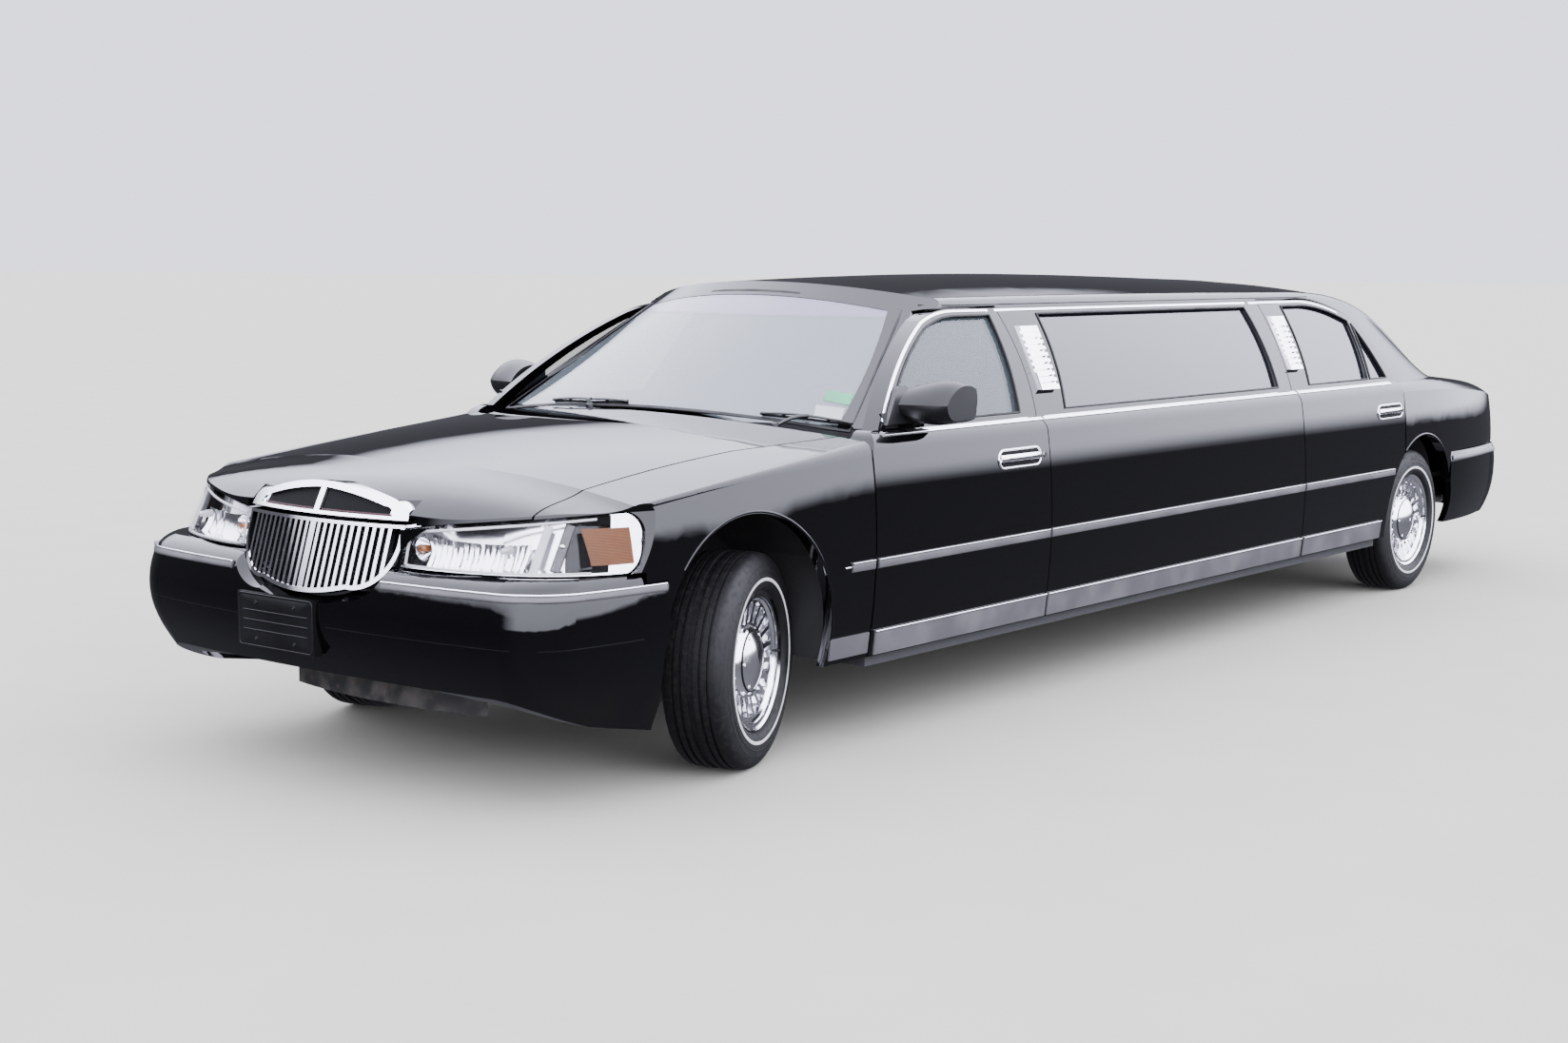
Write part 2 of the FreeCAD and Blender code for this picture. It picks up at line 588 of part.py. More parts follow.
lid = lid.common(plan_slab(746, 1200, *LID))
keep("trunk_lid", only_solid(lid))

# deck between the rear window and the lid, with the shelf behind the rear seat
deck = rear_body.cut(rear_inner).common(plan_slab(
    900, 1200, (-684, 5360), (-684, 5634), ((0, 5694), (684, 5634)), (684, 5360)))
deck = deck.cut(rear_shell).cut(block(-FAR, FAR, 5000, 5460, 900, 1200))
deck = deck.fuse(block(-684, 684, 5100, 5480, 1000, 1030))
keep("rear_deck", only_solid(deck))
tail = block(-596, 596, 6380, 6410, 464, 740).fuse(block(-596, 596, 6400, 6560, 664, 740))
keep("tail_panel", only_solid(rear_body.common(tail)))
lamp = rear_body.cut(rear_inner).fuse(rear_body.common(block(606, 900, 6430, 6556, 668, 876)))
lamp = lamp.common(block(606, 900, 6304, 6600, 668, 874))
keep("tail_lamps", both(only_solid(lamp)))

# ---- bumpers
GRILLE_HOLE = ((-340, 815), (-340, 772), ((-302, 684), (-186, 643)), ((0, 621), (186, 643)),
               ((302, 684), (340, 772)), (340, 815))
GRILLE_EDGE = ((-352, 825), (-352, 770), ((-312, 674), (-190, 631)), ((0, 608), (190, 631)),
               ((312, 674), (352, 770)), (352, 825))
GRILLE_LEAN = (-1046, 600, 240, -972)                   # front, foot, rise and front of the top
BUMPER_STATIONS = (
    # z, s of the middle, corner s, bend x, bend s, outer x, outer s, side x
    (702, -956, -905, 842, -862, 905, -765, 958),
    (632, -1032, -976, 872, -924, 936, -818, 982),
    (562, -1042, -987, 880, -934, 942, -826, 986),
    (492, -1038, -982, 878, -930, 940, -824, 984),
    (422, -1016, -960, 866, -910, 928, -808, 974),
    (352, -980, -924, 844, -876, 906, -780, 958),
    (282, -936, -880, 816, -834, 878, -745, 936),
    (212, -886, -830, 784, -788, 846, -704, 910),
)


def front_bumper_mass(inset, open_to):
    """The bumper's outside as one loft of plans, inset for its inside and run on to open_to."""
    wires = []
    for z, middle, corner, bend_x, bend, outer_x, outer, side in BUMPER_STATIONS:
        shift = inset * 1.2
        wires.append(outline(
            from_above(z), (side - inset, open_to), (side - inset, -470),
            (((side + outer_x) / 2 + 6 - inset, (outer - 470) / 2 + shift / 2), (outer_x - inset, outer + shift)),
            ((bend_x - inset, bend + shift), (760 - inset, corner + shift)),
            ((0, middle + shift), (inset - 760, corner + shift)),
            ((inset - bend_x, bend + shift), (inset - outer_x, outer + shift)),
            ((inset - (side + outer_x) / 2 - 6, (outer - 470) / 2 + shift / 2), (inset - side, -470)),
            (inset - side, open_to)))
    return Part.makeLoft(wires, True, False)


bumper_hollow = front_bumper_mass(SKIN, -300).common(block(-FAR, FAR, -1100, 0, 0, 660))
front_bumper = front_bumper_mass(0, -468).cut(bumper_hollow).cut(front_bumper_mass(SKIN * 2.4, -300))
liner_room = side_slab(460, 935, *liner_back).fuse(front_arch)
front_bumper = front_bumper.cut(liner_room).cut(mirrored(liner_room))
grille_room = thick(outline(from_front(-1100), *GRILLE_EDGE).makeOffset2D(4, 2), Vector(0, 220, 0))
grille_flare = Part.makeLoft([outline(from_front(s), *GRILLE_EDGE).makeOffset2D(grow, 2)
                              for s, grow in ((-1060, 46), (-984, 4))], True, True)
front_bumper = front_bumper.cut(grille_room).cut(grille_flare)
front_bumper = front_bumper.cut(block(-FAR, FAR, -566, -400, 662, 800))
front_bumper = front_bumper.cut(side_slab(-FAR, FAR, (-1100, 0), (-1100, 372), (-930, 352),
                                          ((-830, 304), (-700, 256)), (-480, 216), (-300, 204), (-300, 0)))
# holder of the front plate, with the four holes of a 12 by 6 inch plate
holder = block(-275, 80, -FRONT_OVERHANG, -1020, 415, 585).cut(front_bumper)
plate_x, plate_z = (-275 + 80) / 2, (415 + 585) / 2
for x in (plate_x - size("plate_holes_across") / 2, plate_x + size("plate_holes_across") / 2):
    for z in (plate_z - size("plate_holes_up") / 2, plate_z + size("plate_holes_up") / 2):
        hole = Part.makeCylinder(size("plate_hole_radius"), 110, Vector(x, -1080 - MIDDLE, z), Vector(0, 1, 0))
        holder = holder.cut(hole)
        front_bumper = front_bumper.cut(hole)
keep("front_bumper", only_solid(front_bumper))
keep("plate_holder", only_solid(holder))
REAR_END = WHEELBASE + size("rear_overhang")
REAR_BUMPER_STATIONS = (
    # z, how far the rear face and the sides lie inside the widest line
    (660, 26, 10), (600, 4, 1), (540, 0, 0), (480, 5, 2), (420, 20, 8), (360, 46, 20), (300, 84, 40))


def rear_bumper_mass(inset, open_to):
    """The rear bumper's outside as one loft of plans, inset for its inside."""
    wires = []
    for z, rear, side in REAR_BUMPER_STATIONS:
        def at(x, s):
            return (x - side - inset, s - (rear + inset * 1.2) * (s - open_to) / (REAR_END - open_to))
        corners = [at(*point) for point in ((981, open_to), (974, 5900), (938, 6180), (884, 6368), (740, 6500))]
        (side_start, side_bend, side_end, bend, rear_corner) = corners
        flip = [(-x, s) for x, s in corners]
        wires.append(outline(
            from_above(z), side_start, (side_bend, side_end), (bend, rear_corner),
            ((0, REAR_END - rear - inset * 1.2), flip[4]), (flip[3], flip[2]), (flip[1], flip[0])))
    return Part.makeLoft(wires, True, False)


rear_hollow = rear_bumper_mass(SKIN, 5400).common(block(-FAR, FAR, 5300, 6700, 0, 622))
rear_bumper = rear_bumper_mass(0, 5540).cut(rear_hollow).cut(rear_bumper_mass(SKIN * 2.4, 5400))
rear_bumper = rear_bumper.cut(rear_arch).cut(mirrored(rear_arch)).cut(block(-600, 600, 6300, 6414, 0, 700))
keep("rear_bumper", only_solid(rear_bumper))

# ---- lamps, fascia and grille
LAMP_FOOT = ((360, -960), ((560, -942), (705, -896)), ((878, -770), (966, -500)), (880, -500),
             ((820, -700), (640, -810)), (360, -830))
LAMP_HEAD = ((364, -918), ((560, -876), (705, -809)), ((904, -634), (963, -462)), (880, -462),
             ((820, -640), (640, -745)), (364, -790))


def lamp_body(z_foot, z_head, forward, inward):
    """A headlamp's outside, leaning back, moved forward and inward."""
    body = Part.makeLoft([outline(from_above(z_foot), *LAMP_FOOT), outline(from_above(z_head), *LAMP_HEAD)],
                         True, True)
    body.translate(Vector(-inward, -forward, 0))
    return body


lens_thickness = size("lens_thickness")
lamp_room = plate(300, FAR, LAMP_WINDOW).common(under_crown(0))
lamp_mass = lamp_body(LAMP_LOW, LAMP_HIGH, 0, 0).common(lamp_room)
lamp_core = lamp_body(LAMP_LOW, LAMP_HIGH, -lens_thickness * 1.2, lens_thickness)
keep("headlamp_lenses", both(only_solid(lamp_mass.cut(lamp_core))))
housing = lamp_mass.common(lamp_core)
housing = housing.cut(lamp_body(LAMP_LOW + 6, LAMP_HIGH - 6, lens_thickness * 3, lens_thickness * 3))
keep("headlamp_housings", both(only_solid(housing)))

# an upright U frame round a hole, filled with bars, all bowed forward and leaning back
surround = cross_slab(-1100, -850, *GRILLE_EDGE)
frame = surround.cut(cross_slab(-1100, -850, *GRILLE_HOLE)).common(leaning(*GRILLE_LEAN, 64))
bars = []
middle_bar = (size("bar_count") - 1) / 2
for index in range(int(size("bar_count"))):
    x = (index - middle_bar) * size("bar_pitch")
    half = size("centre_bar_width" if index == middle_bar else "bar_width") / 2
    bars.append(block(x - half, x + half, -1100, -850, 600, 820).common(surround))
bars = Part.Compound(bars).common(leaning(GRILLE_LEAN[0] + 3, *GRILLE_LEAN[1:3], GRILLE_LEAN[3] + 3, 30))
keep("grille", only_solid(frame.multiFuse(bars.Solids)))

fascia = plan_slab(664, 836, (-900, -568), ((-862, -680), (-690, -826)), ((0, -990), (690, -826)),
                   ((862, -680), (900, -568)), (840, -568), ((790, -660), (620, -740)), (360, -796),
                   (-360, -796), (-620, -740), ((-790, -660), (-840, -568)))
lamp_place = lamp_body(LAMP_LOW, LAMP_HIGH, 0, 0).fuse(plan_slab(LAMP_LOW - 6, LAMP_LOW, *LAMP_FOOT))
fascia = fascia.cut(lamp_place).cut(mirrored(lamp_place)).common(under_crown(-1))
fascia = fascia.cut(surround).cut(block(-352, 352, -850, -700, 600, 825))
fascia = fascia.cut(front_arch).cut(mirrored(front_arch))
fascia = fascia.cut(front_bumper)
keep("front_fascia", only_solid(fascia))

# ---- chassis, floor and heavy pieces
rail = side_slab(395, 465, (-760, 300), (-760, 400), (4550, 400), (4800, 560), (5280, 560), (5370, 458),
                 (6400, 458), (6400, 380), (5400, 380), (5260, 480), (4850, 480), (4600, 290),
                 (-700, 290))
members = [cross_slab(s, s + 70, (-420, 300), (-120, 300), (-90, 262), (90, 262), (120, 300), (420, 300),
                      (420, 380), (110, 380), (70, 294), (-70, 294), (-110, 380), (-420, 380))
           for s in (650, 1800, 2900, 4000, 4500)]
members += [block(-420, 420, -700, -630, 300, 380), block(-420, 420, 6200, 6270, 390, 450)]
air_dam = plan_slab(226, 372, (-430, -690), ((0, -742), (430, -690)), (430, -674),
                    ((0, -726), (-430, -674)))
keep("chassis_frame", only_solid(rail.multiFuse([mirrored(rail), air_dam] + members)))
floor = side_slab(-860, 860, (600, 402), (600, 984), (625, 984), (625, 427), (4480, 427), (4640, 590),
                  (5380, 590), (5380, 565), (4655, 565), (4495, 402))
sill = side_slab(800, 940, (571, 262), (4700, 262), (4700, SILL - GAP), (571, SILL - GAP))
web = side_slab(800, 860, (571, 280), (4700, 280), (4640, 427), (571, 427))
floor = floor.multiFuse([sill, web, mirrored(sill), mirrored(web),
                         block(-640, 640, 5380, 6380, 464, 490), block(-640, 640, 5380, 5405, 464, 996)])
tub_room = across(645, FAR, *REAR_ARCH, size("rear_arch_radius") + 32)
floor = floor.cut(tub_room).cut(mirrored(tub_room))
keep("floor_pan", only_solid(floor))
kept.append(bound("Box", "engine_block", Length="sizes.engine_width", Width="sizes.engine_length",
                  Height="sizes.engine_height", x="-sizes.engine_width / 2",
                  y="-sizes.engine_front - " + MIDDLE_OF_CAR, z="sizes.engine_floor"))
kept.append(bound("Box", "radiator", Length="sizes.radiator_width", Width="sizes.radiator_depth",
                  Height="sizes.radiator_height", x="-sizes.radiator_width / 2",
                  y="-sizes.radiator_ahead - " + MIDDLE_OF_CAR, z="sizes.engine_floor"))
kept.append(bound("Box", "fuel_tank", Length="sizes.tank_width", Width="sizes.tank_length",
                  Height="sizes.tank_height", x="-sizes.tank_width / 2",
                  y="sizes.wheelbase + sizes.tank_behind - " + MIDDLE_OF_CAR, z="sizes.tank_floor"))
keep("cowl", plan_slab(985, 1020, (-830, 640), ((0, 520), (830, 640)), (830, 560), ((0, 430), (-830, 560))))
column = Part.makeCylinder(30, 260, Vector(380, 900 - MIDDLE, 890), Vector(0, 0.93, 0.36))
dash = side_slab(-850, 850, (660, 780), (660, 1000), (880, 1012), ((940, 1006), (962, 960)),
                 ((966, 900), (930, 800)), (900, 780))
hood_over_dials = side_slab(200, 560, (860, 980), (880, 1040), ((925, 1050), (955, 1030)), (950, 980))
keep("dashboard", dash.fuse(hood_over_dials).cut(column))
ring = Part.makeTorus(size("steering_radius"), 14)
ring = ring.fuse(block(-size("steering_radius"), size("steering_radius"), MIDDLE - 20, MIDDLE + 20, -8, 8))
ring = ring.fuse(Part.makeCylinder(60, 24, Vector(0, 0, -12)))
ring.Placement = Placement(Vector(380, 1150 - MIDDLE, 987), Rotation(Vector(0, 0, 1), Vector(0, 0.93, 0.36)))
keep("steering_wheel", only_solid(column.fuse(ring)))
SEAT_SIDE = ((1345, 440), (1325, 590), ((1350, 652), (1430, 658)), ((1640, 640), (1830, 616)),
             ((1880, 640), (1906, 720)), (1990, 1180), ((2020, 1232), (2076, 1216)),
             ((2060, 900), (1960, 560)), (1940, 440))
seat = side_slab(95, 635, *SEAT_SIDE)
seat = seat.fuse(side_slab(245, 485, (1990, 1190), (2006, 1330), ((2030, 1384), (2080, 1372)), (2090, 1180)))
keep("front_seats", both(seat))
keep("partition", cross_slab(2120, 2160, (-860, 440), (860, 440), (860, 1000), (768, 1238), (672, 1380),
                             (-672, 1380), (-768, 1238), (-860, 1000)))
bench = cross_slab(2240, 4150, (-440, 440), (-430, 650), ((-450, 712), (-520, 722)), (-800, 700), (-860, 980),
                   (-872, 980), (-872, 440))
REAR_SEAT_SIDE = ((4290, 596), (4280, 700), ((4300, 776), (4380, 786)), ((4600, 770), (4770, 738)),
                  ((4840, 760), (4872, 860)), ((4930, 1040), (4990, 1150)), ((5020, 1192), (5080, 1176)),
                  (5090, 1030), (4990, 596))
rear_seat = side_slab(-630, 630, *REAR_SEAT_SIDE)
keep("rear_seats", Part.Compound([rear_seat, bench]))
keep("console", cross_slab(2300, 3700, (560, 440), (540, 790), ((550, 826), (590, 830)), (868, 830),
                           (868, 440)))
beam = cross_slab(-110, 110, (-430, 226), (-380, 200), (380, 200), (430, 226), (430, 286), (-430, 286))
arm = plan_slab(198, 234, (420, -120), (700, -26), (700, 26), (420, 120))
spring = Part.makeCylinder(size("spring_radius"), 330, Vector(555, -MIDDLE, 234))
corner = arm.fuse(spring)
keep("front_suspension", only_solid(beam.multiFuse([corner, mirrored(corner)])))
axle_height = size("tyre_radius")
tube = size("axle_tube_radius")
casing = outline(lambda x, r: Vector(x, 0, r), (-745, 0), (-745, tube), (-170, tube),
                 ((-110, 105), (0, 135)), ((110, 105), (170, tube)), (745, tube), (745, 0))
casing = Part.Face(casing).revolve(Vector(0, 0, 0), Vector(1, 0, 0), 360)
nose_cone = Part.makeCone(45, 75, 230, Vector(0, -320, 0), Vector(0, 1, 0))
axle = casing.fuse(nose_cone)
for side in (LEFT, RIGHT):
    coil = Part.makeCylinder(size("spring_radius"), 180, Vector(side * 536, 0, 31))
    trailing = thick(outline(lambda s, z: Vector(side * 520 - 20, s, z), (-560, -56), (20, -30), (20, 10),
                             (-560, -10)), Vector(40, 0, 0))
    axle = axle.multiFuse([coil, trailing])
axle.translate(Vector(0, WHEELBASE - MIDDLE, axle_height))
keep("rear_axle", only_solid(axle))


def spot(x, s, z):
    return Vector(x, s - MIDDLE, z)


def pipe(radius, *points):
    """A round pipe through points, rounded at its bends."""
    route = Part.makePolygon(list(points))
    ring = Part.Wire(Part.Circle(points[0], points[1] - points[0], radius).toShape())
    return route.makePipeShell([ring], True, False, 2)


# gearbox, two bearings and the shaft to the rear axle, all under the floor
def ring_at(s, z, radius):
    return Part.Wire(Part.Circle(spot(0, s, z), Vector(0, 1, 0), radius).toShape())


gearbox = Part.makeLoft([ring_at(*ring) for ring in ((292, 560, 130), (430, 470, 100), (570, axle_height, 50))],
                        True, True)
driveline = gearbox.fuse(pipe(50, spot(0, 570, axle_height), spot(0, 780, axle_height)))
driveline = driveline.fuse(pipe(size("shaft_radius"), spot(0, 780, axle_height),
                                spot(0, WHEELBASE - 320, axle_height)))
for s in (1805, 2905):
    driveline = driveline.fuse(pipe(51, spot(0, s, axle_height), spot(0, s + 60, axle_height)))
keep("driveline", only_solid(driveline))

tail_pipe = pipe(22, spot(340, 240, 330), spot(340, 430, 255), spot(600, 900, 245), spot(600, 4420, 250),
                 spot(618, 4760, 400), spot(618, 4900, 440), spot(618, 5330, 430), spot(618, 5600, 390),
                 spot(618, 6360, 345))
muffler = plan_slab(205, 290, (530, 3300), ((600, 3270), (670, 3300)), (670, 3900), ((600, 3930), (530, 3900)))
keep("exhaust", both(only_solid(tail_pipe.fuse(muffler))))

# ---- wheels and knuckles
HALF = size("tyre_width") / 2


def turned(points):
    """A solid turned about the X axis from (x, radius) points and arcs."""
    wire = outline(lambda x, r: Vector(x, 0, r), *points)
    return Part.Face(wire).revolve(Vector(0, 0, 0), Vector(1, 0, 0), 360)


SEAT = size("rim_radius")
TREAD = size("tread_half_width")
BEAD = 90                       # half width between the rim's flanges
TYRE_FLATS = 48                 # the tyres are round in flats, so that they stay light
TYRE_PROFILE = ((BEAD, 227), (HALF - 9, 232), (HALF, 270), (HALF - 11, 322), (TREAD + 6, 341),
                (TREAD - 8, axle_height))


def flat_ring(x, radius):
    """The corners of a ring of flats about the X axis, one of them at its lowest point."""
    turns = [index * 2 * pi / TYRE_FLATS for index in range(TYRE_FLATS + 1)]
    return [Vector(x, radius * sin(turn), -radius * cos(turn)) for turn in turns]


section = [(-x, radius) for x, radius in TYRE_PROFILE] + list(reversed(TYRE_PROFILE))
rings = [flat_ring(*ring) for ring in section + [(BEAD, SEAT + 1), (-BEAD, SEAT + 1)]]
tyre = Part.makeSolid(Part.makeShell([
    Part.Face(Part.makePolygon([one[k], one[k + 1], other[k + 1], other[k], one[k]]))
    for one, other in zip(rings, rings[1:] + rings[:1]) for k in range(TYRE_FLATS)]))
# rim and hub in one: flanges and barrel, a face with ribs round a domed centre, a disc behind
DOME_RIM, DOME_TOP, DOME_RADIUS = 80, 102, 98
dome_centre = DOME_TOP - (DOME_RADIUS ** 2 + (DOME_TOP - DOME_RIM) ** 2) / (2 * (DOME_TOP - DOME_RIM))


def dome_x(radius):
    """Height of the spherical centre over the wheel's middle plane."""
    return dome_centre + ((DOME_TOP - dome_centre) ** 2 - radius ** 2) ** 0.5


rim = turned(((-BEAD - 6, 223), (-BEAD - 1, 223), (-BEAD - 1, SEAT), (BEAD + 1, SEAT), (BEAD + 1, 223),
              (BEAD + 6, 223), (84, 199), (76, 192), (62, 114), (72, 108), (DOME_RIM, DOME_RADIUS),
              ((dome_x(DOME_RADIUS / 2), DOME_RADIUS / 2), (DOME_TOP, 0)), (-62, 0), (-62, 62), (-44, 62),
              (-44, 148), (-24, 148), (-24, 70),
              (30, 70), (30, 118), (40, 190), (-BEAD - 6, 190)))
pocket = outline(lambda y, z: Vector(53, y, z), (-9, 120), (9, 120), (21, 180), (0, 189), (-21, 180))
window = outline(lambda y, z: Vector(20, y, z), (-7, 128), (7, 128), (11, 152), (-11, 152))
pocket = thick(pocket, Vector(60, 0, 0)).fuse(thick(window, Vector(60, 0, 0)))
pockets = []
for index in range(int(size("spoke_count"))):
    one = pocket.copy()
    one.rotate(Vector(0, 0, 0), Vector(1, 0, 0), index * 360 / size("spoke_count"))
    pockets.append(one)
rim = rim.cut(Part.Compound(pockets))
kingpin = size("front_half_track") - size("kingpin_offset")
AXLES = (
    # name, half track, s, steer angle
    ("front", size("front_half_track"), 0, size("steer_angle")),
    ("rear", size("rear_half_track"), WHEELBASE, 0),
)
for name, half_track, s, steer in AXLES:
    for side, word in ((LEFT, "left"), (RIGHT, "right")):
        steering = Placement(Vector(0, 0, 0), Rotation(Vector(0, 0, 1), steer),
                             Vector(side * kingpin, s - MIDDLE, 0))
        hub = Placement(Vector(side * half_track, s - MIDDLE, axle_height),
                        Rotation(Vector(0, 0, 1), 0 if side == LEFT else 180))
        keep("tyre_%s_%s" % (name, word), tyre, steering.multiply(hub))
        keep("rim_%s_%s" % (name, word), rim, steering.multiply(hub))
for side, word in ((LEFT, "left"), (RIGHT, "right")):
    steering = Placement(Vector(0, 0, 0), Rotation(Vector(0, 0, 1), size("steer_angle")),
                         Vector(side * kingpin, -MIDDLE, 0))
    upright = block(kingpin - 40, kingpin - 5, -50, 50, 240, 470)
    upright = upright.fuse(across(kingpin - 40, kingpin + 20, 0, axle_height, 30))
    pin = Part.makeCylinder(15, 238, Vector(kingpin, -MIDDLE, 240))
    upright = upright.fuse(pin)
    keep("knuckle_" + word, upright if side == LEFT else mirrored(upright), steering)

doc.recompute()
for thing in doc.Objects:
    if "Invalid" in thing.State or "Error" in thing.State:
        raise RuntimeError("%s did not recompute" % thing.Label)
os.makedirs("parts", exist_ok=True)
for piece in kept:
    if piece.Shape.isNull() or not piece.Shape.isValid():
        raise RuntimeError("%s has no valid shape" % piece.Label)
    piece.Shape.exportStep("parts/%s.step" % piece.Label)
print("%d sub-parts" % len(kept))
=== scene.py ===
import json
import math

import bmesh
import bpy
from mathutils import Matrix, Vector
from mathutils.bvhtree import BVHTree


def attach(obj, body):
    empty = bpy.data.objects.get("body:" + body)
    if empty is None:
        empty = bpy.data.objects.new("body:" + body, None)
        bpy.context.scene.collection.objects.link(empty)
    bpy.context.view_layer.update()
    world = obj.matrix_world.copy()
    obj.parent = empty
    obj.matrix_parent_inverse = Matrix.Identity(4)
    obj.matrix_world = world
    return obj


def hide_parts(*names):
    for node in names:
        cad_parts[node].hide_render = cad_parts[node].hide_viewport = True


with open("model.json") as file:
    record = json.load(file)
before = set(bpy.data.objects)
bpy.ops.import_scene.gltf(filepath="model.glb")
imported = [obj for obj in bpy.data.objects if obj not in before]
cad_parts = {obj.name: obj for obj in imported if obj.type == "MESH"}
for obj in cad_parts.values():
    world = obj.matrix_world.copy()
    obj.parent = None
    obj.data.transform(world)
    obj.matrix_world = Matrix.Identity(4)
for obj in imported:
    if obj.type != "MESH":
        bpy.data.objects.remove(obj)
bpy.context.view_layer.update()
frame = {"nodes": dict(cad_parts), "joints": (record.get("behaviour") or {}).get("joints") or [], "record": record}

# Looks of a black stretch limousine.  Front faces -Y, +X is the car's left side, +Z is up.
# Sizes and tables are in millimetres, with s the distance behind the front axle, as in the
# part's source; at() turns such a place into the frame's metres.  A route is a list of
# (place, outward direction) along the car's skin, and every piece of trim follows one.

JOINTS = {joint["name"]: joint for joint in frame["joints"]}
FRONT_AXLE_Y = JOINTS["steer_left"]["pos_m"][1]
SIDES = (("left", 1), ("right", -1))
LEFT, BACK, UP = Vector((1, 0, 0)), Vector((0, 1, 0)), Vector((0, 0, 1))


def at(x, s, z):
    """The place x to the car's left, s behind its front axle and z up."""
    return Vector((x / 1000, FRONT_AXLE_Y + s / 1000, z / 1000))


# ---------------------------------------------------------------- finishes


class Socket:
    """An output socket of a node, so that shader maths reads as an expression."""

    def __init__(self, nodes, socket):
        self.nodes = nodes
        self.socket = socket

    def maths(self, operation, *others):
        """A Math node on this value and others."""
        return self.nodes.node("ShaderNodeMath", {"operation": operation},
                               dict(enumerate((self,) + others)))

    def __add__(self, other):
        return self.maths("ADD", other)

    __radd__ = __add__

    def __mul__(self, other):
        return self.maths("MULTIPLY", other)

    __rmul__ = __mul__

    def __rsub__(self, other):
        return self.nodes.node("ShaderNodeMath", {"operation": "SUBTRACT"}, {0: other, 1: self})

    def __lt__(self, other):
        return self.maths("LESS_THAN", other)


class Nodes:
    """A node tree being made."""

    def feed(self, target, value):
        """Links a Socket to a node's input, or sets the input's own value."""
        if isinstance(value, Socket):
            self.tree.links.new(value.socket, target)
        elif getattr(target, "type", "") == "RGBA":
            target.default_value = tuple(value)[:3] + (1.0,)
        else:
            target.default_value = value

    def node(self, kind, settings=None, values=None, output=0):
        """Adds any node: its settings first, then its inputs' values; gives one output."""
        made = self.tree.nodes.new(kind)
        for name, value in (settings or {}).items():
            if name == "stops":
                ramp = made.color_ramp
                while len(ramp.elements) < len(value):
                    ramp.elements.new(0.5)
                for element, (position, colour) in zip(ramp.elements, value):
                    element.position = position
                    element.color = tuple(colour) + (1.0,)
            else:
                setattr(made, name, value)
        for name, value in (values or {}).items():
            self.feed(made.inputs[name], value)
        return Socket(self, made.outputs[output])


class Finish(Nodes):
    """A material being made; shade() sets and feeds its one shader."""

    def __init__(self, name):
        self.material = bpy.data.materials.new(name)
        self.material.use_nodes = True
        self.tree = self.material.node_tree
        self.tree.nodes.clear()
        self.shader = self.tree.nodes.new("ShaderNodeBsdfPrincipled")
        last = self.tree.nodes.new("ShaderNodeOutputMaterial")
        self.tree.links.new(self.shader.outputs[0], last.inputs["Surface"])
        self.place = self.node("ShaderNodeTexCoord", {}, {}, "Object")

    def noise(self, scale, detail=3.0, stretch=(1, 1, 1)):
        """Cloudy values from 0 to 1 over the piece."""
        place = self.node("ShaderNodeMapping", {}, {"Vector": self.place, "Scale": stretch})
        return self.node("ShaderNodeTexNoise", {},
                         {"Vector": place, "Scale": scale, "Detail": detail})

    def step(self, value, low, high):
        """0 below low, 1 above high, smooth between."""
        return self.node("ShaderNodeMapRange", {"interpolation_type": "SMOOTHSTEP"},
                         {"Value": value, "From Min": low, "From Max": high})

    def between(self, amount, first, second):
        """A colour between two colours."""
        return self.node("ShaderNodeMix", {"data_type": "RGBA"},
                         {0: amount, 6: first, 7: second}, 2)

    def axis(self, name):
        """One of the piece's X, Y and Z, in metres."""
        return self.node("ShaderNodeSeparateXYZ", {}, {"Vector": self.place}, "XYZ".index(name))

    def bump(self, height, strength, distance=0.001):
        """A normal that rises and falls with a height."""
        return self.node("ShaderNodeBump", {},
                         {"Height": height, "Strength": strength, "Distance": distance})

    def shade(self, **values):
        """Sets or feeds the shader's sockets, named with _ for a space."""
        for name, value in values.items():
            self.feed(self.shader.inputs[name.replace("_", " ")], value)
        return self.material


def black_paint(name="black_paint", peel=0.012):
    """Deep gloss black under clear lacquer, faint orange peel, road film low on the body."""
    finish = Finish(name)
    low = 1 - finish.step(finish.axis("Z") + finish.noise(3.0) * 0.12, 0.24, 0.50)
    film = low * finish.step(finish.noise(7.0, 6.0), 0.42, 0.72)
    return finish.shade(
        Base_Color=finish.between(film * 0.25, (0.0008, 0.0008, 0.001), (0.012, 0.011, 0.010)),
        Roughness=0.22 + film * 0.25, Coat_Weight=1.0 - film * 0.4, Coat_Roughness=0.012,
        Coat_IOR=1.42, Specular_IOR_Level=0.0, Normal=finish.bump(finish.noise(240.0, 2.0), peel))


def chrome(name="chrome", tint=(0.93, 0.93, 0.95), rough=0.04):
    """Polished bright trim with faint wipe marks."""
    finish = Finish(name)
    haze = finish.step(finish.noise(38.0, 5.0), 0.45, 0.8)
    return finish.shade(Base_Color=tint, Metallic=1.0, Roughness=rough + haze * 0.06)


def plastic(name, colour, rough, grain=0.25, scale=900.0, lift=0.004, gloss=0.5):
    """Moulded plastic with a fine grain and a little fading."""
    finish = Finish(name)
    fade = finish.step(finish.noise(6.0, 4.0), 0.35, 0.75)
    lighter = tuple(channel * 1.4 + lift for channel in colour)
    return finish.shade(Base_Color=finish.between(fade, colour, lighter),
                        Roughness=rough + fade * 0.08, Specular_IOR_Level=gloss,
                        Normal=finish.bump(finish.noise(scale, 2.0), grain, 0.0004))


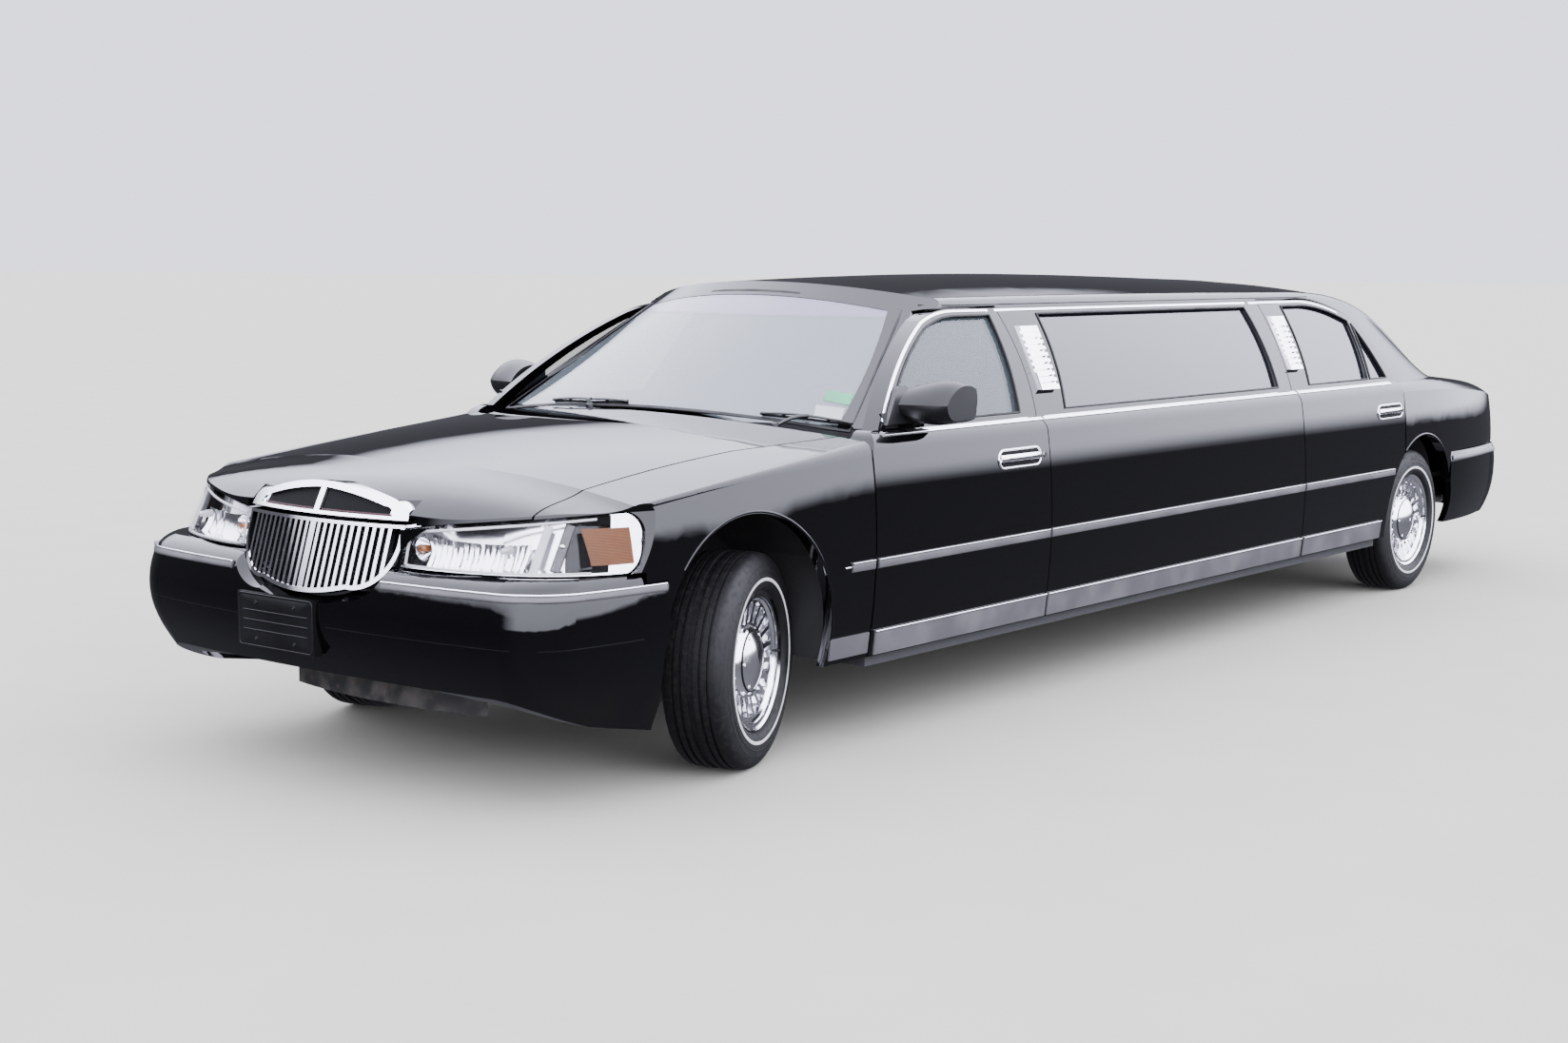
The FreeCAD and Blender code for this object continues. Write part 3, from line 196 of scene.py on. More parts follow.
def clear_glass(name, see_through, tint, gloss, coat, band=0.0):
    """Window or lens glass with a trace of film, and a shade band above a height in metres."""
    finish = Finish(name)
    film = finish.step(finish.noise(6.0, 5.0, (1, 0.3, 0.3)), 0.5, 0.95)
    alpha = 1 - see_through + film * 0.05
    colour = tint
    if band:
        shade = finish.step(finish.axis("Z"), band, band + 0.012)
        alpha = alpha + shade * 0.22
        colour = finish.between(shade, tint, (0.10, 0.09, 0.15))
    return finish.shade(Base_Color=colour, IOR=1.5, Specular_IOR_Level=gloss,
                        Roughness=0.01 + film * 0.02, Alpha=alpha,
                        Coat_Weight=coat, Coat_Roughness=0.01)


def rubber(name, dark=(0.002, 0.002, 0.0022), dusty=(0.006, 0.0055, 0.005)):
    """Matt rubber with dust lying on it."""
    finish = Finish(name)
    dust = finish.step(finish.noise(11.0, 5.0), 0.4, 0.75)
    return finish.shade(Base_Color=finish.between(dust, dark, dusty), Roughness=0.6 + dust * 0.2,
                        Specular_IOR_Level=0.3,
                        Normal=finish.bump(finish.noise(420.0, 3.0), 0.2, 0.0006))


TREAD_BLOCKS = 96       # round the tyre


def tread_rubber():
    """Tyre rubber: the cuts across the tread follow the tyre's own map of (turn, section)."""
    finish = Finish("tread_rubber")
    sheet = finish.node("ShaderNodeUVMap", {"uv_map": "wrap"})
    turn = finish.node("ShaderNodeSeparateXYZ", {}, {"Vector": sheet}, 0)
    across = finish.node("ShaderNodeSeparateXYZ", {}, {"Vector": sheet}, 1)
    on_tread = finish.step(across, 0.30, 0.34) * (1 - finish.step(across, 0.66, 0.70))
    cuts = ((turn * TREAD_BLOCKS + across * 7).maths("FRACT") < 0.16) * on_tread
    dust = finish.step(finish.noise(60.0, 3.0), 0.45, 0.7)
    return finish.shade(
        Base_Color=finish.between(dust * 0.6, (0.002, 0.002, 0.0022), (0.006, 0.0055, 0.005)),
        Roughness=0.58 + dust * 0.2, Specular_IOR_Level=0.25,
        Normal=finish.bump(1 - cuts + finish.noise(300.0, 2.0) * 0.15, 0.8, 0.002))


def frame_steel(name, colour, rough=0.6, metal=0.0):
    """Painted or cast metal under the car, with dust and a little rust."""
    finish = Finish(name)
    dust = finish.step(finish.noise(14.0, 6.0), 0.38, 0.7)
    rust = finish.step(finish.noise(31.0, 7.0), 0.6, 0.74)
    dusty = finish.between(dust * 0.4, colour, (0.09, 0.08, 0.07))
    return finish.shade(Base_Color=finish.between(rust * 0.4, dusty, (0.10, 0.045, 0.025)),
                        Roughness=rough + dust * 0.2, Metallic=metal,
                        Normal=finish.bump(finish.noise(120.0, 5.0), 0.3, 0.001))


def leather(name="leather", dark=(0.022, 0.021, 0.022), worn=(0.045, 0.043, 0.042)):
    """Grained hide: pebbled cells, softer where it is sat on."""
    finish = Finish(name)
    cells = finish.node("ShaderNodeTexVoronoi", {"feature": "DISTANCE_TO_EDGE"},
                        {"Vector": finish.place, "Scale": 260.0})
    wear = finish.step(finish.noise(5.0, 4.0), 0.4, 0.8)
    return finish.shade(Base_Color=finish.between(wear, dark, worn),
                        Roughness=0.46 + wear * 0.14, Normal=finish.bump(cells, 0.35, 0.0006))


def carpet():
    """Short black tufts."""
    finish = Finish("carpet")
    tufts = finish.noise(700.0, 3.0)
    return finish.shade(
        Base_Color=finish.between(tufts, (0.008, 0.008, 0.009), (0.03, 0.03, 0.032)),
        Roughness=0.95, Normal=finish.bump(tufts, 0.9, 0.003))


def alloy():
    """Machined wheel face with brake dust in the corners."""
    finish = Finish("alloy")
    grime = finish.step(finish.noise(24.0, 5.0), 0.55, 0.85)
    return finish.shade(
        Base_Color=finish.between(grime * 0.4, (0.88, 0.88, 0.90), (0.35, 0.33, 0.31)),
        Metallic=1.0, Roughness=0.13 + grime * 0.15)


def lens(name, colour, flutes=110.0, across="X", coat=0.5):
    """Coloured moulded lens with flutes, in radians a metre; its colour runs from a darker tone to the full colour
    in random patches and across the flutes, where the stripes are painted light and shade.
    """
    finish = Finish(name)
    ribs = finish.node("ShaderNodeTexWave", {"bands_direction": across},
                       {"Vector": finish.place, "Scale": flutes / math.tau})
    deep = tuple(channel * 0.45 for channel in colour)
    # painted light and shade: the flutes' stripes lighten and darken the colour, on top of a random tone
    tone_and_flute_light = finish.noise(16.0) * 0.5 + ribs * 0.3
    return finish.shade(Base_Color=finish.between(tone_and_flute_light, deep, colour), Roughness=0.12,
                        Coat_Weight=coat, Coat_Roughness=0.02, Specular_IOR_Level=0.3,
                        Normal=finish.bump(ribs, 0.5, 0.001))


# The finishes of the frame's material slots.
PAINT = black_paint()
CHROME = chrome()
BLACK_TRIM = plastic("black_trim", (0.002, 0.002, 0.0022), 0.32, lift=0.001, gloss=0.3)
LEATHER = leather()
CAST = frame_steel("cast", (0.10, 0.10, 0.10), 0.55, 0.6)
RADIATOR = frame_steel("radiator", (0.10, 0.10, 0.105), 0.5, 0.7)
REFLECTOR = chrome("reflector", (0.90, 0.90, 0.92), 0.14)
FINISHES = {
    "paint": PAINT,
    "bumper": black_paint("bumper_paint", 0.02),
    "bright": CHROME,
    "black_trim": BLACK_TRIM,
    "liner": plastic("liner", (0.006, 0.006, 0.006), 0.8, 0.6, 200.0),
    "front_glass": clear_glass("front_glass", 0.60, (0.05, 0.062, 0.068), 0.35, 0.5),
    "rear_glass": clear_glass("rear_glass", 0.08, (0.004, 0.004, 0.006), 0.35, 0.4),
    "lamp_glass": clear_glass("lamp_glass", 0.95, (0.02, 0.02, 0.02), 0.2, 0.15),
    "reflector": REFLECTOR,
    "lamp_red": lens("lamp_red", (0.11, 0.0015, 0.003)),
    "frame_steel": frame_steel("frame_steel", (0.012, 0.012, 0.012)),
    "underbody": frame_steel("underbody", (0.02, 0.02, 0.02), 0.75),
    "cast": CAST,
    "radiator": RADIATOR,
    "interior": plastic("interior", (0.016, 0.016, 0.018), 0.55, 0.4, 500.0),
    "leather": LEATHER,
    "exhaust": frame_steel("exhaust", (0.22, 0.20, 0.18), 0.45, 0.9),
    "tyre": rubber("tyre"),
    "alloy": alloy(),
}
# Solids whose finish isn't their slot's.
LAMP_BRIGHT = chrome("lamp_bright", (0.97, 0.97, 0.98), 0.10)
NODE_FINISH = {
    "opera_lamps": LAMP_BRIGHT,
    "door_lamp_left": LAMP_BRIGHT,
    "door_lamp_right": LAMP_BRIGHT,
    "floor_pan": carpet(),
    "windscreen": clear_glass("windscreen_glass", 0.5, (0.11, 0.13, 0.14), 0.5, 1.0, 1.40),
}
NEAR_SLOT = {finish.name: slot for slot, finish in FINISHES.items()}


def own(slot, finish):
    """A finish of the scene's own pieces, noted with the frame's slot that it is nearest to."""
    NEAR_SLOT[finish.name] = slot
    return finish


SATIN_GREY = own("black_trim", plastic("satin_grey", (0.045, 0.044, 0.047), 0.38, 0.1))
RUBBER = own("black_trim", rubber("window_rubber", (0.0012, 0.0012, 0.0013),
                                  (0.003, 0.003, 0.003)))
RECESS = own("black_trim", plastic("recess_black", (0.0012, 0.0012, 0.0013), 0.6,
                                   lift=0.0008, gloss=0.08))
POCKET_EDGE = own("black_trim", plastic("pocket_edge", (0.03, 0.006, 0.008), 0.4, lift=0.002))
AMBER = own("lamp_glass", lens("amber_lens", (0.11, 0.030, 0.0004), 500.0, "Z", 0.0))
BULB = own("lamp_glass", lens("bulb_glass", (0.30, 0.09, 0.02), 90.0))
TAIL_RED = own("lamp_red", lens("tail_rib_red", (0.07, 0.0008, 0.0015), 300.0))
LAMP_WHITE = own("reflector", plastic("lamp_white", (0.30, 0.30, 0.31), 0.2, 0.05))
LAMP_RIB = own("bright", plastic("lamp_rib", (0.42, 0.42, 0.44), 0.18, 0.05))
MIRROR = own("reflector", chrome("mirror_glass", (0.85, 0.87, 0.90), 0.01))
GREEN_LABEL = own("front_glass", plastic("green_label", (0.02, 0.16, 0.07), 0.5))
WHITE_LABEL = own("front_glass", plastic("white_label", (0.22, 0.23, 0.22), 0.5))
TREAD = own("tyre", tread_rubber())
WHITE_WALL = own("tyre", rubber("white_wall", (0.38, 0.38, 0.375), (0.24, 0.235, 0.225)))
BRAKE = own("cast", frame_steel("brake_disc", (0.12, 0.115, 0.11), 0.35, 0.9))
ENGINE_ALLOY = own("cast", frame_steel("engine_alloy", (0.12, 0.12, 0.125), 0.45, 0.7))
PIPING = own("leather", leather("piping", (0.014, 0.014, 0.015), (0.03, 0.03, 0.03)))
SEAT_SHELL = own("interior", plastic("seat_shell", (0.010, 0.010, 0.011), 0.6, 0.5, 400.0))
DIAL = own("interior", plastic("dial_face", (0.004, 0.004, 0.004), 0.3, lift=0.001))
DIAL_MARK = own("interior", plastic("dial_mark", (0.30, 0.30, 0.28), 0.4))

SLOT_OF = {entry["node"]: entry["material_slot"] for entry in frame["record"]["subparts"]}
for node, cad_object in frame["nodes"].items():
    for slot in cad_object.material_slots:
        slot.material = NODE_FINISH.get(node, FINISHES[SLOT_OF[node]])


# ---------------------------------------------------------------- making pieces


def put(name, data):
    """A new object in the scene, at the origin."""
    thing = bpy.data.objects.new(name, data)
    bpy.context.scene.collection.objects.link(thing)
    return thing


def evaluated(thing):
    """A plain mesh of an object as its modifiers leave it."""
    return bpy.data.meshes.new_from_object(
        thing.evaluated_get(bpy.context.evaluated_depsgraph_get()))


def ready(name, body, mesh, finish):
    """Puts a mesh of one finish on a body of the car."""
    mesh.materials.clear()
    mesh.materials.append(finish)
    mesh.polygons.foreach_set("material_index", [0] * len(mesh.polygons))
    piece = put(name, mesh)
    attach(piece, body)
    return piece


def as_mesh(name, shape, sharp=40):
    """Merges a shape's doubles, turns its faces outward and keeps edges sharp past an angle."""
    bmesh.ops.remove_doubles(shape, verts=shape.verts, dist=0.00001)
    bmesh.ops.recalc_face_normals(shape, faces=shape.faces)
    mesh = bpy.data.meshes.new(name)
    shape.to_mesh(mesh)
    shape.free()
    mesh.shade_smooth()
    if sharp:
        mesh.set_sharp_from_angle(angle=math.radians(sharp))
    return mesh


def placed(name, body, finish, shape, place):
    """A shape made round the origin, put in its place on a body."""
    bmesh.ops.transform(shape, matrix=place, verts=shape.verts)
    return ready(name, body, as_mesh(name, shape), finish)


# Rays start well outside the car.
BESIDE_CAR, AHEAD_OF_CAR, BEHIND_CAR, OVER_CAR = 1500, -1500, 7500, 2000


class Skin:
    """Outer faces of some of the car's solids, found by rays, for laying trim on."""

    def __init__(self, *nodes):
        corners, faces = [], []
        for node in nodes:
            mesh = frame["nodes"][node].data
            first = len(corners)
            corners += [corner.co.copy() for corner in mesh.vertices]
            faces += [[first + index for index in face.vertices] for face in mesh.polygons]
        self.tree = BVHTree.FromPolygons(corners, faces)

    def look(self, start, toward):
        """The first place met and the outward direction there, or None."""
        place, out, _, _ = self.tree.ray_cast(start, toward)
        if place is None:
            return None
        return place, out if out.dot(toward) < 0 else -out

    def hit(self, start, toward):
        """As look(), for a ray that has to meet something."""
        met = self.look(start, toward)
        if met is None:
            raise ValueError(f"no skin from {tuple(start)}")
        return met

    def beside(self, side, s, z):
        """Met by a level ray from one side of the car."""
        return self.hit(at(BESIDE_CAR * side, s, z), -side * LEFT)

    def before(self, x, z):
        """Met by a level ray from ahead of the car."""
        return self.hit(at(x, AHEAD_OF_CAR, z), BACK)

    def behind(self, x, z):
        """Met by a level ray from behind the car."""
        return self.hit(at(x, BEHIND_CAR, z), -BACK)

    def above(self, x, s):
        """Met by a ray from over the car."""
        return self.hit(at(x, s, OVER_CAR), -UP)

    def around(self, x, s, z, degrees):
        """Met by a level ray coming in towards (x, s, z); 0 is from the front, 90 from the left."""
        turn = math.radians(degrees)
        toward = Vector((-math.sin(turn), math.cos(turn), 0))
        return self.hit(at(x, s, z) - toward * 2, toward)


# The side walls between the arches: three arcs up the wall, each through three places as
# (half width, height).
WALL_ARCS = (((962, 299), (986, 615), (968, 988)), ((968, 988), (954, 1022), (926, 1041)),
             ((926, 1041), (817, 1238), (688, 1432)))


def arc_through(first, middle, last):
    """Centre and radius of the circle through three places."""
    (ax, ay), (bx, by), (cx, cy) = first, middle, last
    twice = 2 * (ax * (by - cy) + bx * (cy - ay) + cx * (ay - by))
    a, b, c = ax * ax + ay * ay, bx * bx + by * by, cx * cx + cy * cy
    centre = ((a * (by - cy) + b * (cy - ay) + c * (ay - by)) / twice,
              (a * (cx - bx) + b * (ax - cx) + c * (bx - ax)) / twice)
    return centre, math.dist(centre, first)


def arc_points(first, middle, last, steps):
    """Places along the arc from first to last through middle."""
    (cx, cy), radius = arc_through(first, middle, last)
    start, way, end = (math.atan2(y - cy, x - cx) for x, y in (first, middle, last))
    sweep = (end - start) % math.tau
    if (way - start) % math.tau > sweep:
        sweep -= math.tau
    return [(cx + radius * math.cos(start + sweep * step / steps),
             cy + radius * math.sin(start + sweep * step / steps)) for step in range(steps + 1)]


def wall(side, s, z):
    """A place on the flat-sided middle of the body, and the outward direction there."""
    arc = next((arc for arc in WALL_ARCS if z <= arc[2][1]), WALL_ARCS[2])
    (cx, cz), radius = arc_through(*arc)
    x = cx + math.sqrt(radius ** 2 - (z - cz) ** 2)
    return at(side * x, s, z), Vector((side * (x - cx), 0, z - cz)).normalized()


def traced(*parts, steps=10):
    """Places along an outline: single places, and (middle, end) pairs that make an arc."""
    places = [parts[0]]
    for part in parts[1:]:
        if isinstance(part[0], tuple):
            places += arc_points(places[-1], part[0], part[1], steps)[1:]
        else:
            places.append(part)
    return places


def spaced(places, gap):
    """Adds places so that none is further than gap from the next."""
    filled = [places[0]]
    for first, second in zip(places, places[1:]):
        count = max(1, math.ceil(math.dist(first, second) / gap))
        filled += [tuple(a + (b - a) * step / count for a, b in zip(first, second))
                   for step in range(1, count + 1)]
    return filled


def on_wall(side, places):
    """A route on the wall through (s, height) places."""
    return [wall(side, s, z) for s, z in places]


def along_wall(side, first, last, z, gap):
    """A level route on the wall from one s to another."""
    return on_wall(side, spaced([(first, z), (last, z)], gap))


def raised(route, rise):
    """A route lifted off the skin."""
    return [(place + out * rise / 1000, out) for place, out in route]


def on_plane(middle, across, up, places):
    """A route in a plane, through places measured across and up from a middle."""
    out = across.cross(up).normalized()
    return [(middle + across * a / 1000 + up * b / 1000, out) for a, b in places]


def part_way(first, last, share):
    """A number between two, at a share of the way."""
    return first + (last - first) * share


def circle(radius, count, height=0.0, shift=0.0):
    """Places evenly round Z, in metres from sizes in millimetres."""
    turns = [math.tau * (index + shift) / count for index in range(count)]
    return [Vector((radius * math.cos(turn), radius * math.sin(turn), height)) / 1000
            for turn in turns]


def rounded(width, height, radius, steps=5):
    """A rounded rectangle round (0, 0), as places in order."""
    places = []
    for turn, (sx, sy) in enumerate(((1, -1), (1, 1), (-1, 1), (-1, -1))):
        for step in range(steps + 1):
            angle = math.radians(-90 + 90 * turn + 90 * step / steps)
            places.append((sx * (width / 2 - radius) + radius * math.cos(angle),
                           sy * (height / 2 - radius) + radius * math.sin(angle)))
    return places


# ---------------------------------------------------------------- recipes in Geometry Nodes


class Recipe(Nodes):
    """A Geometry Nodes tree with named inputs; made() runs it once and keeps the plain mesh."""

    KINDS = {"float": "NodeSocketFloat", "count": "NodeSocketInt", "object": "NodeSocketObject",
             "finish": "NodeSocketMaterial"}

    def __init__(self, name, **inputs):
        self.tree = bpy.data.node_groups.new(name, "GeometryNodeTree")
        sockets = self.tree.interface
        sockets.new_socket("Geometry", in_out="INPUT", socket_type="NodeSocketGeometry")
        sockets.new_socket("Geometry", in_out="OUTPUT", socket_type="NodeSocketGeometry")
        self.inputs = {key: sockets.new_socket(key, in_out="INPUT", socket_type=self.KINDS[kind])
                       for key, kind in dict(inputs, Finish="finish").items()}
        self.start = self.tree.nodes.new("NodeGroupInput")
        self.route = Socket(self, self.start.outputs["Geometry"])

    def given(self, name):
        """One of the tree's named inputs."""
        return Socket(self, self.start.outputs[name])

    def directed(self):
        """The route as a curve whose normal is its stored outward direction."""
        curve = self.node("GeometryNodeMeshToCurve", {}, {"Mesh": self.route})
        out = self.node("GeometryNodeInputNamedAttribute", {"data_type": "FLOAT_VECTOR"},
                        {"Name": "out"})
        return self.node("GeometryNodeSetCurveNormal", {"mode": "FREE"},
                         {"Curve": curve, "Normal": out})

    def end(self, geometry):
        """Closes the tree on its last geometry."""
        real = self.node("GeometryNodeRealizeInstances", {}, {"Geometry": geometry})
        done = self.node("GeometryNodeSetMaterial", {},
                         {"Geometry": real, "Material": self.given("Finish")})
        last = self.tree.nodes.new("NodeGroupOutput")
        self.tree.links.new(done.socket, last.inputs["Geometry"])

    def made(self, name, body, route, finish, loop=False, **values):
        """Runs the tree on a route of (place, outward direction) and puts the result on a body."""
        edges = [(index, index + 1) for index in range(len(route) - 1)]
        if loop:
            edges.append((len(route) - 1, 0))
        line = bpy.data.meshes.new(name)
        line.from_pydata([place for place, _ in route], edges, [])
        outs = line.attributes.new("out", "FLOAT_VECTOR", "POINT")
        for stored, (_, out) in zip(outs.data, route):
            stored.vector = out
        holder = put("route", line)
        modifier = holder.modifiers.new("recipe", "NODES")
        modifier.node_group = self.tree
        for key, value in dict(values, Finish=finish).items():
            modifier[self.inputs[key].identifier] = value
        result = evaluated(holder)
        bpy.data.objects.remove(holder)
        shape = bmesh.new()
        shape.from_mesh(result)
        return ready(name, body, as_mesh(name, shape), finish)


def moulding_recipe():
    """A rounded bar that follows a route on the car's skin."""
    recipe = Recipe("moulding", Thickness="float", Width="float", Rounding="float")
    bar = recipe.node("GeometryNodeCurvePrimitiveQuadrilateral", {},
                      {"Width": recipe.given("Thickness"), "Height": recipe.given("Width")})
    bar = recipe.node("GeometryNodeFilletCurve", {"mode": "POLY"},
                      {"Curve": bar, "Count": 3, "Radius": recipe.given("Rounding"),
                       "Limit Radius": True})
    recipe.end(recipe.node("GeometryNodeCurveToMesh", {},
                           {"Curve": recipe.directed(), "Profile Curve": bar, "Fill Caps": True}))
    return recipe


def row_recipe():
    """Copies of one small shape, evenly along a route, each turned to the skin."""
    recipe = Recipe("row", Count="count", Shape="object")
    line = recipe.node("GeometryNodeResampleCurve", {"mode": "COUNT"},
                       {"Curve": recipe.directed(), "Count": recipe.given("Count")})
    turn = recipe.node("FunctionNodeAxesToRotation", {"primary_axis": "Z", "secondary_axis": "X"},
                       {"Primary Axis": recipe.node("GeometryNodeInputNormal"),
                        "Secondary Axis": recipe.node("GeometryNodeInputTangent")})
    shape = recipe.node("GeometryNodeObjectInfo", {}, {"Object": recipe.given("Shape")}, "Geometry")
    recipe.end(recipe.node("GeometryNodeInstanceOnPoints", {},
                           {"Points": line, "Instance": shape, "Rotation": turn}))
    return recipe


MOULDING = moulding_recipe()
ROW = row_recipe()


def moulding(name, body, finish, route, thickness, width, rounding, loop=False):
    """A bar laid along a route."""
    return MOULDING.made(name, body, route, finish, loop, Thickness=thickness / 1000,
                         Width=width / 1000, Rounding=rounding / 1000)


def row(name, body, finish, route, count, shape):
    """Count copies of a small shape along a route; the shape's Z points outward."""
    holder = put("pattern", shape)
    piece = ROW.made(name, body, route, finish, Count=count, Shape=holder)
    bpy.data.objects.remove(holder)
    return piece


def turned_shape(profile, sides, band=False):
    """A shape turned about Z from (radius, height) places; a band's section is a closed loop."""
    shape = bmesh.new()
    rings = [[shape.verts.new(place) for place in circle(radius, sides if radius else 1, height)]
             for radius, height in profile]
    for lower, upper in zip(rings, rings[1:] + rings[:1] if band else rings[1:]):
        for turn in range(sides):
            after = (turn + 1) % sides
            corners = [lower[turn % len(lower)], lower[after % len(lower)],
                       upper[after % len(upper)], upper[turn % len(upper)]]
            corners = list(dict.fromkeys(corners))
            if len(corners) > 2:
                shape.faces.new(corners)
    return shape


def revolved(name, body, finish, profile, middle, axis, sides):
    """A turned piece with its height along an axis."""
    turn = Vector(axis).to_track_quat("Z", "Y").to_matrix().to_4x4()
    return placed(name, body, finish, turned_shape(profile, sides),
                  Matrix.Translation(middle) @ turn)


def slab(name, body, finish, grid, lift, depth, wrap=False):
    """A closed sheet from a grid of (place, outward direction), lift proud and depth thick."""
    shape = bmesh.new()
    outer = [[shape.verts.new(place + out * lift / 1000) for place, out in line] for line in grid]
    inner = [[shape.verts.new(place + out * (lift - depth) / 1000) for place, out in line]
             for line in grid]
    rows, columns = len(grid), len(grid[0])
    pairs = [(j, (j + 1) % columns) for j in range(columns if wrap else columns - 1)]
    for j, k in pairs:
        for i in range(rows - 1):
            shape.faces.new((outer[i][j], outer[i][k], outer[i + 1][k], outer[i + 1][j]))
            shape.faces.new((inner[i][j], inner[i + 1][j], inner[i + 1][k], inner[i][k]))
        for i in (0, rows - 1):
            shape.faces.new((outer[i][j], inner[i][j], inner[i][k], outer[i][k]))
    if not wrap:
        for j in (0, columns - 1):
            for i in range(rows - 1):
                shape.faces.new((outer[i][j], outer[i + 1][j], inner[i + 1][j], inner[i][j]))
    return ready(name, body, as_mesh(name, shape), finish)


def patch(name, body, finish, middle, across, up, places, lift, depth, bevel=1.0):
    """A flat plate with the outline of places across and up from a middle, its edge eased."""
    grid = []
    for reach in (0.0, 0.5, 1.0 - bevel * 0.02, 1.0):
        line = on_plane(middle, across, up, [(a * reach, b * reach) for a, b in places])
        grid.append(raised(line, -bevel) if reach == 1.0 else line)
    return slab(name, body, finish, grid, lift, depth, wrap=True)


SCREW = as_mesh("screw", turned_shape(
    ((0, -3), (7, -3), (7, 0), (6, 2.6), (3, 3.6), (1.5, 2.4), (0, 2.4)), 12))
SPEAKER_DOT = as_mesh("dot", turned_shape(((0, -1), (3.2, -1), (3.0, 1.0), (0, 1.4)), 8))
DIAL_TICK = as_mesh("tick", turned_shape(((0, -1), (1.6, -1), (1.6, 0.6), (0, 0.6)), 6))


# ---------------------------------------------------------------- trim along the body


# The side's three lengths, as s from and to: belt moulding, rub strip and rocker moulding.
SIDE_LENGTHS = (
    # body, belt from, to, rub from, to, rocker from, to
    ("front_door", 657, 1652, 576, 1655, 580, 1660),
    ("chassis", 1664, 3782, 1670, 3814, 1676, 3830),
    ("rear_door", 3806, 4816, 3834, 4808, 3854, 4700),
)
BELT_Z, RUB_Z, RUB_BRIGHT_Z, ROCKER_BRIGHT_Z = 1035, 613, 626, 384
RUB_STRIP = (14, 32, 5)         # thickness, width and rounding
RUB_BRIGHT = (3, 6, 1.2)
RUB_BRIGHT_RISE = 6.5


def on_body(body, tag):
    """The body's full name on one side."""
    return body if body == "chassis" else f"{body}_{tag}"


def side_trim():
    """Belt moulding, rub strip and rocker moulding with their bright lines, a set for each door."""
    fenders = Skin("front_fenders")
    for tag, side in SIDES:
        for body, belt_from, belt_to, rub_from, rub_to, rocker_from, rocker_to in SIDE_LENGTHS:
            whose = on_body(body, tag)
            name = f"{body.replace('chassis', 'centre')}_{tag}"
            belt = along_wall(side, belt_from, belt_to, BELT_Z, 60)
            moulding(f"belt_{name}", whose, CHROME, belt, 11, 25, 5)
            rub = along_wall(side, rub_from, rub_to, RUB_Z, 90)
            moulding(f"rub_strip_{name}", whose, SATIN_GREY, rub, *RUB_STRIP)
            bright = along_wall(side, rub_from + 3, rub_to - 3, RUB_BRIGHT_Z, 90)
            moulding(f"rub_bright_{name}", whose, CHROME, raised(bright, RUB_BRIGHT_RISE),
                     *RUB_BRIGHT)
            rocker = [along_wall(side, rocker_from, rocker_to, z, 90)
                      for z in (304, 318, 345, 372, 385)]
            slab(f"rocker_{name}", whose, SATIN_GREY, rocker, 6, 9)
            bright = along_wall(side, rocker_from, rocker_to, ROCKER_BRIGHT_Z, 90)
            moulding(f"rocker_bright_{name}", whose, CHROME, raised(bright, 6), 5, 6, 2)
        rub = [fenders.beside(side, s, RUB_Z) for s in (432, 470, 510, 556)]
        moulding(f"rub_strip_fender_{tag}", "chassis", SATIN_GREY, rub, *RUB_STRIP)
        bright = [(place + UP * (RUB_BRIGHT_Z - RUB_Z) / 1000, out)
                  for place, out in raised(rub, RUB_BRIGHT_RISE)]
        moulding(f"rub_bright_fender_{tag}", "chassis", CHROME, bright, *RUB_BRIGHT)
        rocker = [[fenders.beside(side, s, z) for s in (338, 352, 400, 450, 500, 548)]
                  for z in (316, 324, 345, 372, 385)]
        slab(f"rocker_fender_{tag}", "chassis", SATIN_GREY, rocker, 6, 9)
        pin = [fenders.beside(side, s, 615) for s in (396, 408, 420, 436)]
        moulding(f"rub_pin_{tag}", "chassis", CHROME, pin, 6, 6, 2)


# The side windows' outlines as (s, height), the same as their glass.
WINDOWS = (
    # name, body, outline
    ("front", "front_door", traced((722, 1060), ((930, 1228), (1190, 1368)),
                                   ((1320, 1400), (1440, 1408)), (1650, 1408),
                                   ((1610, 1224), (1545, 1060)))),
    ("centre", "chassis", traced((1862, 1060), ((1938, 1224), (1982, 1408)), (3726, 1408),
                                 ((3712, 1224), (3666, 1060)))),
    ("rear", "rear_door", traced((3978, 1060), ((4050, 1224), (4094, 1408)), (4250, 1408),
                                 ((4500, 1388), (4706, 1330)), ((4672, 1200), (4614, 1060)))),
    ("quarter", "rear_door", traced((4642, 1060), ((4698, 1200), (4732, 1318)),
                                    ((4790, 1190), (4830, 1060)))),
)
# The bright line over the windows.
BRIGHT_LINES = (
    # name, body, places
    ("front", "front_door", spaced(traced((694, 1070), (706, 1084), ((918, 1246), (1184, 1386)),
                                          ((1318, 1417), (1440, 1424)), (1655, 1424)), 50)),
    ("centre", "chassis", spaced([(1700, 1424), (3752, 1424)], 80)),
    ("rear", "rear_door", spaced(traced((3790, 1424), (4250, 1424),
                                        ((4480, 1406), (4640, 1368))), 50)),
)


def shrunk(places, gap):
    """An outline moved inward by a gap."""
    moved = []
    count = len(places)
    area = sum(places[i - 1][0] * places[i][1] - places[i][0] * places[i - 1][1]
               for i in range(count))
    inward = 1 if area > 0 else -1
    for index, corner in enumerate(places):
        here = Vector(corner)
        before = (here - Vector(places[index - 1])).normalized()
        after = (Vector(places[(index + 1) % count]) - here).normalized()
        both = before + after
        normal = Vector((-both.y, both.x)) * inward
        reach = gap / max(0.35, normal.length / 2) if normal.length else 0
        moved.append(tuple(here + normal.normalized() * reach))
    return moved


